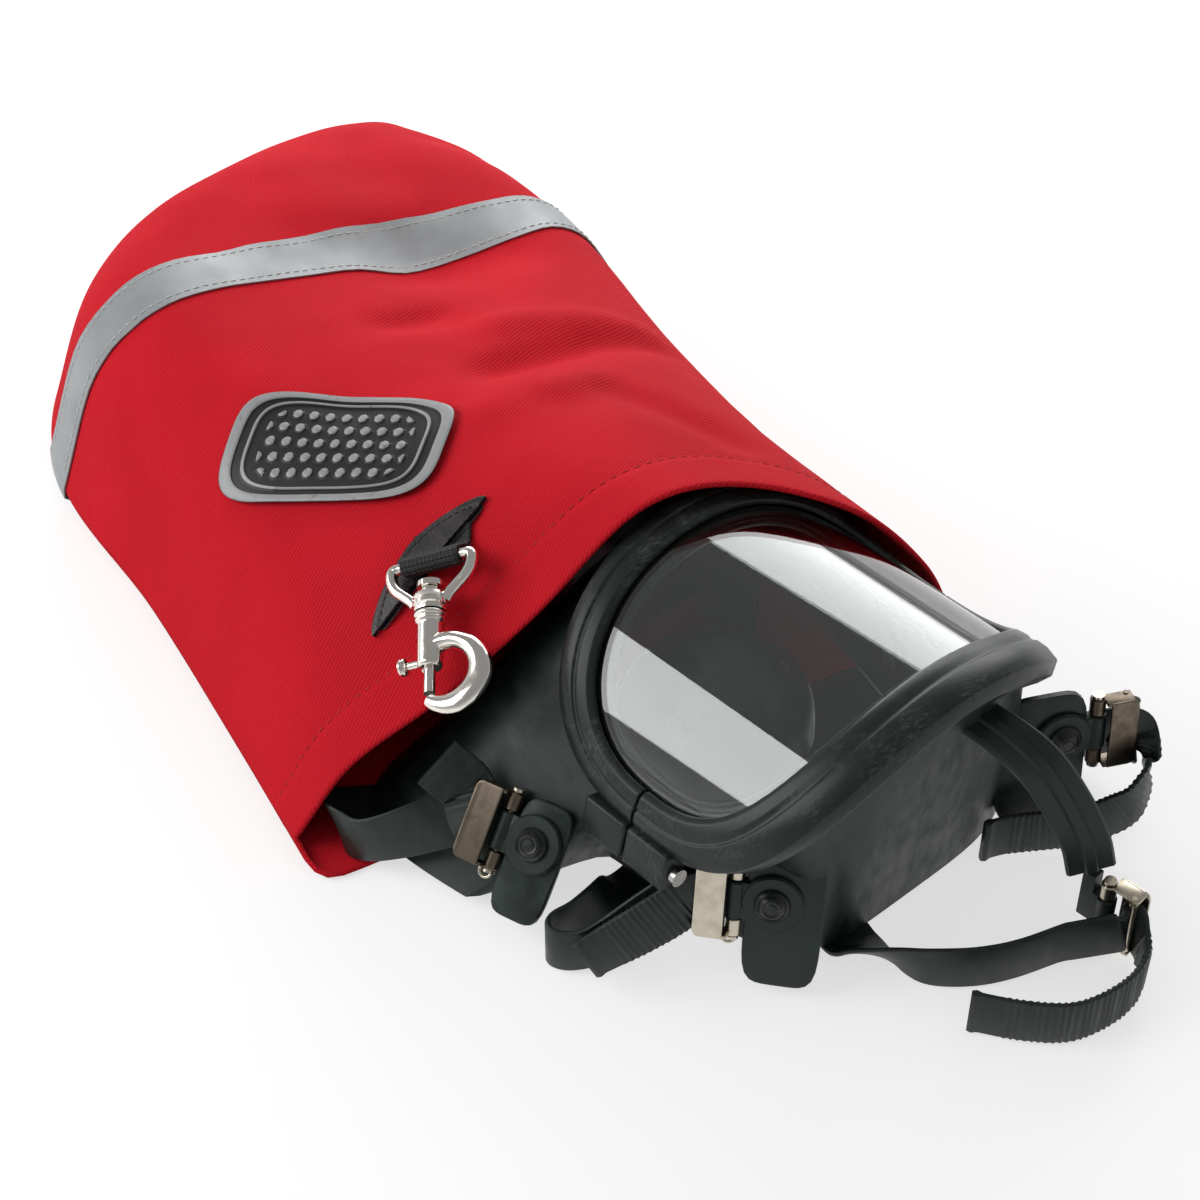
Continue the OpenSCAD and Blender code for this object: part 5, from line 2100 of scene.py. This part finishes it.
@dataclass
class HeadHarness:
    """The ribbed straps, the buckles they run through and the pad behind the head."""

    width: float = 20
    thick: float = 2
    rib_pitch: float = 2.3
    rib_height: float = 0.45
    wrap: float = 2.8
    roller_x: float = 10
    leave: float = 6
    still: float = 18
    lengths: tuple[str, ...] = ("webbed_strap", "strap_bend", "tail_bend", "ribbed_tail")
    pad_at: tuple[float, float, float] = (46, 22, 0.5)
    pad_radius: float = 26
    pad_thick: float = 1.7
    pad_hole: float = 4
    ring_at: tuple[float, float] = (1.2, -15.2)
    ring_radius: float = 2.3
    ring_wire: float = 0.55

    @staticmethod
    def routes() -> dict[str, tuple[list[tuple[float, ...]], list[tuple[float, ...]]]]:
        """Gives each strap's route from its buckle to the pad, and its free end's route.

        Returns:
            For each seat two lists of places with a roll.
        """
        return {
            "forehead": (
                [(155.5, 76, 11.5, 0), (153, 59, 10.4, 0), (149, 45, 10.4, 0), (142, 32, 10.6, 4),
                 (134.5, 25, 10.2, 20), (127.5, 21, 8.6, 44), (121, 19, 5.6, 68), (114.5, 18, 2.9, 87),
                 (100, 19, 2.4, 90), (86, 20, 2.4, 90), (73, 22, 2.4, 90)],
                [(169, 98.5, 12, 0), (176, 95, 11, 0), (182, 86, 10.4, 0), (184.5, 73, 10.4, 0),
                 (183, 59, 10.4, 0), (174.5, 45.5, 10.4, 0), (163, 33, 10.4, 0)],
            ),
            "near_temple": (
                [(89.6, -31.4, 31.6, -16), (87.2, -39.5, 26.5, -14), (85, -48, 21, -10),
                 (83, -56.5, 15.8, -5), (80.5, -65, 11.8, 0), (76.5, -72, 10.5, 0), (71.5, -75, 10.4, 0),
                 (67.5, -71.5, 10.4, 0), (66.5, -63.5, 10.4, 0), (66, -54.5, 9.8, 22), (64, -46, 7.4, 52),
                 (60.5, -37, 3.4, 82), (55, -23, 2.4, 90), (49, -6, 2.4, 90)],
                [(94.6, -34.4, 34.4, -18), (93.2, -42.5, 29.5, -16), (91.2, -51, 24.5, -12),
                 (88.8, -60, 19.5, -8), (86.8, -69.5, 15, -4)],
            ),
            "far_temple": (
                [(105, 141, 32, 0), (98.5, 143.5, 26, 0), (91, 142, 20, 0), (84, 137, 14.5, 0),
                 (77.5, 129.5, 11.2, 0), (72, 120, 10, 38), (69, 112.5, 5.4, 72), (66, 105, 2.4, 90),
                 (56, 80, 2.4, 90), (50, 62, 2.4, 90), (47, 50, 2.4, 90)],
                [(114.5, 139.2, 33, -8), (120, 135.5, 28, -6), (123, 128, 21.5, -3), (120.5, 118.5, 16, 0),
                 (115.5, 108.5, 12, 0), (110.5, 98.5, 10.5, 0), (106.5, 88, 10.4, 0), (105, 79, 10.4, 0)],
            ),
            "near_jaw": (
                [(20.6, -83, 28.6, -36), (16.8, -92.6, 25.5, -24), (11.5, -102, 20.5, -10),
                 (4.5, -110.5, 15.6, 0), (-4.5, -115, 13, 0), (-13, -113, 11.8, 33), (-17.5, -107, 7.6, 66),
                 (-18, -98.5, 4.2, 88), (-13, -85, 4.2, 90), (-4, -64, 4.1, 90), (6, -42, 4, 90),
                 (12, -27, 4, 90), (18, -13, 3.4, 90), (24, 0, 2.7, 90)],
                [(17.9, -77, 38.1, -44), (13.2, -80.6, 41.8, -44), (9, -84, 46, -42)],
            ),
            "far_jaw": (
                [(-20, 110.6, 17, 0), (-31, 113.8, 14.8, 0), (-42, 114, 13.6, 0), (-53, 109.6, 11.6, 33),
                 (-62, 104.2, 7.5, 68), (-67, 96, 4.2, 88), (-62, 84, 4.1, 90), (-40, 65, 4.1, 90),
                 (-12, 49, 4, 90), (3, 42, 4, 90), (12, 38, 3.5, 90), (19, 35, 2.7, 90)],
                [(-21.6, 104.4, 25, 0), (-28, 104, 27, 0), (-36, 102.5, 29.5, 0)],
            ),
        }

    def round_roller(self, seat: Seat) -> np.ndarray:
        """Gives the strap's way round its roller, from the inner side to the outer one.

        Args:
            seat: The buckle's seat.

        Returns:
            A place and the direction of the width in each row.
        """
        a = np.radians(np.linspace(-75, -285, 25))
        x, y = self.roller_x + self.wrap * np.cos(a), self.wrap * np.sin(a)
        turn = np.array(seat.matrix())
        place = np.stack([x, y, np.zeros_like(a)], axis=1) @ turn[:3, :3].T + turn[:3, 3] / MM - MOUTH
        return np.concatenate([place, np.tile(turn[:3, 2], (len(a), 1))], axis=1)

    def build_strap(self, seat: Seat) -> list[tuple[Piece, Vector | None, Vector | None]]:
        """Builds one strap round its buckle's roller, in four lengths, of which the two at the roller bend.

        Args:
            seat: The buckle's seat.

        Returns:
            Each length from the pad to the free end, with the places where its bend starts and ends.
        """
        route, free = self.routes()[seat.name]
        parts = [rolled(route)[::-1], self.round_roller(seat), rolled(free)]
        path = resampled(np.concatenate(parts), 0.7)
        kernel = np.ones(7) / 7
        for k in range(6):
            path[3:-3, k] = np.convolve(path[:, k], kernel, "valid")
        run = np.concatenate([[0], np.cumsum(np.linalg.norm(np.diff(path[:, :3], axis=0), axis=1))])
        middle = int(np.argmin(np.linalg.norm(path[:, :3] - parts[1][12, :3], axis=1)))
        past, left = run - run[middle], run[-1] - run
        ribbed = ease((past - 8) / 3) * ease((left - 9) / 3)
        rib = self.rib_height * ribbed * np.maximum(np.cos(past / self.rib_pitch * math.tau), -0.2)
        tip = 0.7 * np.exp(-(((left - 1.6) / 1.2) ** 2))
        section = rounded_section(self.width, self.thick)
        shape = np.repeat(section[None], len(path), axis=0)
        shape[..., 1] += np.sign(section[:, 1])[None] * (rib + tip)[:, None]
        rings = at(ribbon(path, shape))
        marks = (-self.leave, -self.still, self.leave, self.still)
        leave_in, still_in, leave_out, still_out = (int(np.argmin(np.abs(past - mark))) for mark in marks)
        stops = (0, still_in, middle, still_out, len(path) - 1)
        bends = (None, (leave_in, still_in), (leave_out, still_out), None)
        made = []
        for name, low, high, bend in zip(self.lengths, stops, stops[1:], bends):
            piece = tube(f"{seat.name}_{name}", rings[low : high + 1])
            start, end = (Vector(at(path[k, :3])) for k in bend) if bend else (None, None)
            made.append((smooth(piece, 40), start, end))
        return made

    def build_buckle(self) -> Piece:
        """Builds one buckle on its seat: a plate with a turned-up edge, two arms and two eyes round the pin.

        Returns:
            The buckle, seen from its seat.
        """
        u = np.linspace(3, 13.2, 15)
        v = np.linspace(-1, 1, 29)
        grid_u, grid_v = np.meshgrid(u, v)
        corner = np.clip((grid_u - 10.7) / 2.5, 0, 1)
        wide = 14 - 2.5 * (1 - np.sqrt(1 - corner**2))
        bow = 4.8 + 0.3 * (1 - grid_v**2) + 0.2 * ease((grid_u - 11.2) / 2)
        plate = lofted("plate", np.stack([grid_u, bow, grid_v * wide], axis=-1) * MM)
        refine(plate, "SOLIDIFY", thickness=1.1 * MM, offset=0.0)
        parts = [round_edges(close_up(plate), 0.35, 2, 50)]
        for arm, eye in (((-14, -12.6), (-14, -7.4)), ((12.6, 14), (7.4, 14))):
            parts.append(block("arm", (1.7, -1.2, arm[0]), (12, 5.0, arm[1]), 0.4, 2))
            parts.append(turned("eye", ring_profile(1.5, 2.8, *eye, 0.4), 32))
        return smooth(joined("buckle", parts), 35)

    def build_wire(self) -> Piece:
        """Builds the small wire ring that hangs at the foot of a buckle's pin.

        Returns:
            The ring, seen from the buckle's seat.
        """
        a = np.linspace(0, math.tau, 40)
        path = self.ring_radius * np.stack([np.cos(a), np.sin(a)], axis=1) + self.ring_at
        thick = np.full_like(a, self.ring_wire)
        made = flat_tube("wire", path, thick, thick, 12)
        return move(smooth(made), spun(90, "X"))

    def build_pad(self) -> Piece:
        """Builds the pad behind the head, with a scalloped edge and holes.

        Returns:
            The pad.
        """
        turn, share = disc_grid(81)
        edge = self.pad_radius * (1 - 0.035 + 0.035 * np.cos(5 * turn))
        u, v = share * edge * np.cos(turn), share * edge * np.sin(turn)
        z = 2.2 - 0.5 * ease((share - 0.9) / 0.1)
        made = lofted("harness_pad", at(np.stack([u, v, z], axis=-1) + np.array(self.pad_at)))
        refine(made, "SOLIDIFY", thickness=self.pad_thick * MM, offset=-1.0)
        for a in np.arange(5) * math.tau / 5:
            out = self.pad_radius * 0.5 * np.array((math.cos(a), math.sin(a), 0))
            bore(made, Matrix.Translation(at(np.array(self.pad_at) + out)), self.pad_hole, -3, 6, 28)
        return smooth(made, 40)

    def build(self) -> None:
        """Builds and dresses every piece of the harness."""
        dress(self.build_pad(), STRAP_RUBBER, Body.MASK, ["head_pad"])
        pattern, wire = self.build_buckle(), self.build_wire()
        for seat in SEATS:
            # The near jaw's buckle and roller take the dark finish as painted shade, for the bag's shadow
            # they lie in
            finish = AGED_NICKEL if seat.name in ("forehead", "near_temple") else BRONZE_AND_SHADE
            buckle = copy_of(pattern, f"{seat.name}_frame", seat.matrix())
            dress(smooth(buckle, 35), finish, seat.lever, [f"{seat.name}_buckle"])
            dress_node(f"{seat.name}_roller", finish)
            nodes = ([f"{seat.name}_strap"], [], [], [f"{seat.name}_tail"])
            for (piece, start, end), replaced in zip(self.build_strap(seat), nodes):
                dress(piece, STRAP_RUBBER, None if start else Body.MASK, replaced)
                if start:
                    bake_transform(piece)
            if seat.name.startswith("near"):
                ring = copy_of(wire, f"{seat.name}_wire_ring", seat.matrix())
                dress(smooth(ring), AGED_NICKEL, seat.lever)
        for piece in (pattern, wire):
            bpy.data.objects.remove(piece)


# The studio


@dataclass
class Studio:
    """A pale floor, two softboxes, their glints in the lens and the camera of the photo."""

    eye: tuple[float, float, float] = (0.65262, -0.33231, 0.704)
    right: tuple[float, float, float] = (0.4848, 0.8746, 0.0)
    up: tuple[float, float, float] = (-0.6076, 0.3368, 0.7193)
    back: tuple[float, float, float] = (0.6291, -0.3487, 0.6947)
    focal: float = 78.36
    paleness: float = 0.5
    # The floor's level seen through the lens, painted shade for the inside of the mask
    darkness: float = 0.02
    glow: float = 0.64
    ambient: float = 0.35
    box_levels: tuple[float, float] = (3.4, 3.2)
    glint_levels: tuple[float, float] = (9.5, 7.2)

    def build_camera(self) -> None:
        """Places the camera."""
        camera = bpy.data.cameras.new("photo_camera")
        camera.lens, camera.sensor_width, camera.clip_start = self.focal, 36.0, 0.01
        made = bpy.data.objects.new("photo_camera", camera)
        made.matrix_world = placed(self.right, self.up, self.back, self.eye)
        bpy.context.scene.collection.objects.link(made)
        bpy.context.scene.camera = made

    def build_box(
        self, name: str, place: Sequence[float], aim: Sequence[float], along: Sequence[float],
        size: tuple[float, float], radiance: float, glint: bool,
    ) -> None:
        """Hangs a softbox.

        Args:
            name: The light's name.
            place: Its middle, in millimetres from the mouth.
            aim: The place that it faces.
            along: The direction of its length.
            size: Its length and height, in metres.
            radiance: How bright its face is.
            glint: Whether it only shows in the lens.
        """
        light = bpy.data.lights.new(name, "AREA")
        light.shape = "RECTANGLE"
        light.size, light.size_y = size
        light.energy = radiance * math.pi * size[0] * size[1]
        made = bpy.data.objects.new(name, light)
        middle = at(place)
        z = unit(middle - at(aim))
        x = np.array(along, float)
        x = unit(x - z * float(x @ z))
        made.matrix_world = placed(x, np.cross(z, x), z, middle)
        made.visible_camera = False
        if glint:
            panes = bpy.data.collections.get("panes") or bpy.data.collections.new("panes")
            if not panes.objects:
                panes.objects.link(bpy.data.objects[Facepiece.PANE])
            made.light_linking.receiver_collection = panes
        bpy.context.scene.collection.objects.link(made)

    def build_floor(self) -> None:
        """Lays the floor, white where no shadow falls, and dark where it is seen through the lens as painted
        shade for the inside of the mask.
        """
        bpy.ops.object.select_all(action="DESELECT")
        bpy.ops.mesh.primitive_plane_add(size=8.0, location=(0, 0, -0.0003))
        floor = named("floor")
        recipe = Recipe("floor")
        recipe.set("Roughness", 0.9)
        recipe.set("Specular IOR Level", 0.0)
        recipe.set("Emission Color", (1, 1, 1, 1))
        path = recipe.add("LightPath").outputs
        # Seen through the lens the floor takes the dark level, painted shade for the inside of the mask
        pale, dark = ((level, level, level, 1.0) for level in (self.paleness, self.darkness))
        recipe.set("Base Color", recipe.mix(path["Is Transmission Ray"], pale, dark))
        mirrored = recipe.sums("SUBTRACT", path["Is Glossy Ray"], path["Is Transmission Ray"])
        seen = recipe.sums("MAXIMUM", path["Is Camera Ray"], mirrored)
        recipe.set("Emission Strength", recipe.sums("MULTIPLY", seen, self.glow))
        floor.data.materials.append(recipe.material)

    def build_world(self) -> None:
        """Sets the surroundings: white to the camera, a soft gradient in reflections and dim to all else."""
        world = bpy.data.worlds.new("studio")
        world.use_nodes = True
        bpy.context.scene.world = world
        nodes = Nodes(world.node_tree)
        nodes.tree.nodes.clear()
        place = nodes.add("TexCoord").outputs["Generated"]
        fall = nodes.fit(nodes.add("SeparateXYZ", {0: place}).outputs["Z"], 0.05, 0.6, 0.6, 0.3)
        path = nodes.add("LightPath").outputs
        mirror = nodes.sums("MAXIMUM", path["Is Glossy Ray"], path["Is Transmission Ray"])
        dim = nodes.add("Mix", {"Factor": mirror, "A": self.ambient, "B": fall}).outputs["Result"]
        white = nodes.add("Mix", {"Factor": path["Is Camera Ray"], "A": dim, "B": 1.0}).outputs["Result"]
        sky = nodes.add("Background", {"Color": (1, 1, 1, 1), "Strength": white})
        nodes.add("OutputWorld", {0: sky.outputs[0]})

    def build(self) -> None:
        """Builds the whole studio."""
        bpy.context.scene.view_settings.view_transform = "Standard"
        self.build_floor()
        self.build_world()
        near = (-362, -760, 530), (65, -20, 86), (0.82, 0.17, 0.54), (0.9, 0.53)
        far = (-700, 560, 430), (65, 60, 80), (0.70, 0.71, 0.0), (1.1, 0.62)
        for kind, levels in (("box", self.box_levels), ("glint", self.glint_levels)):
            self.build_box(f"near_{kind}", *near, levels[0], kind == "glint")
            self.build_box(f"far_{kind}", *far, levels[1], kind == "glint")
        self.build_camera()


def main() -> None:
    """Builds the bag, its hook, the mask, the harness and the studio, in that order."""
    logging.basicConfig(level=logging.INFO, format="%(name)s: %(message)s")
    for part in (CarryBag(), SnapHook(), Facepiece(), HeadHarness(), Studio()):
        LOG.info("building %s", type(part).__name__)
        part.build()


if __name__ == "__main__":
    main()
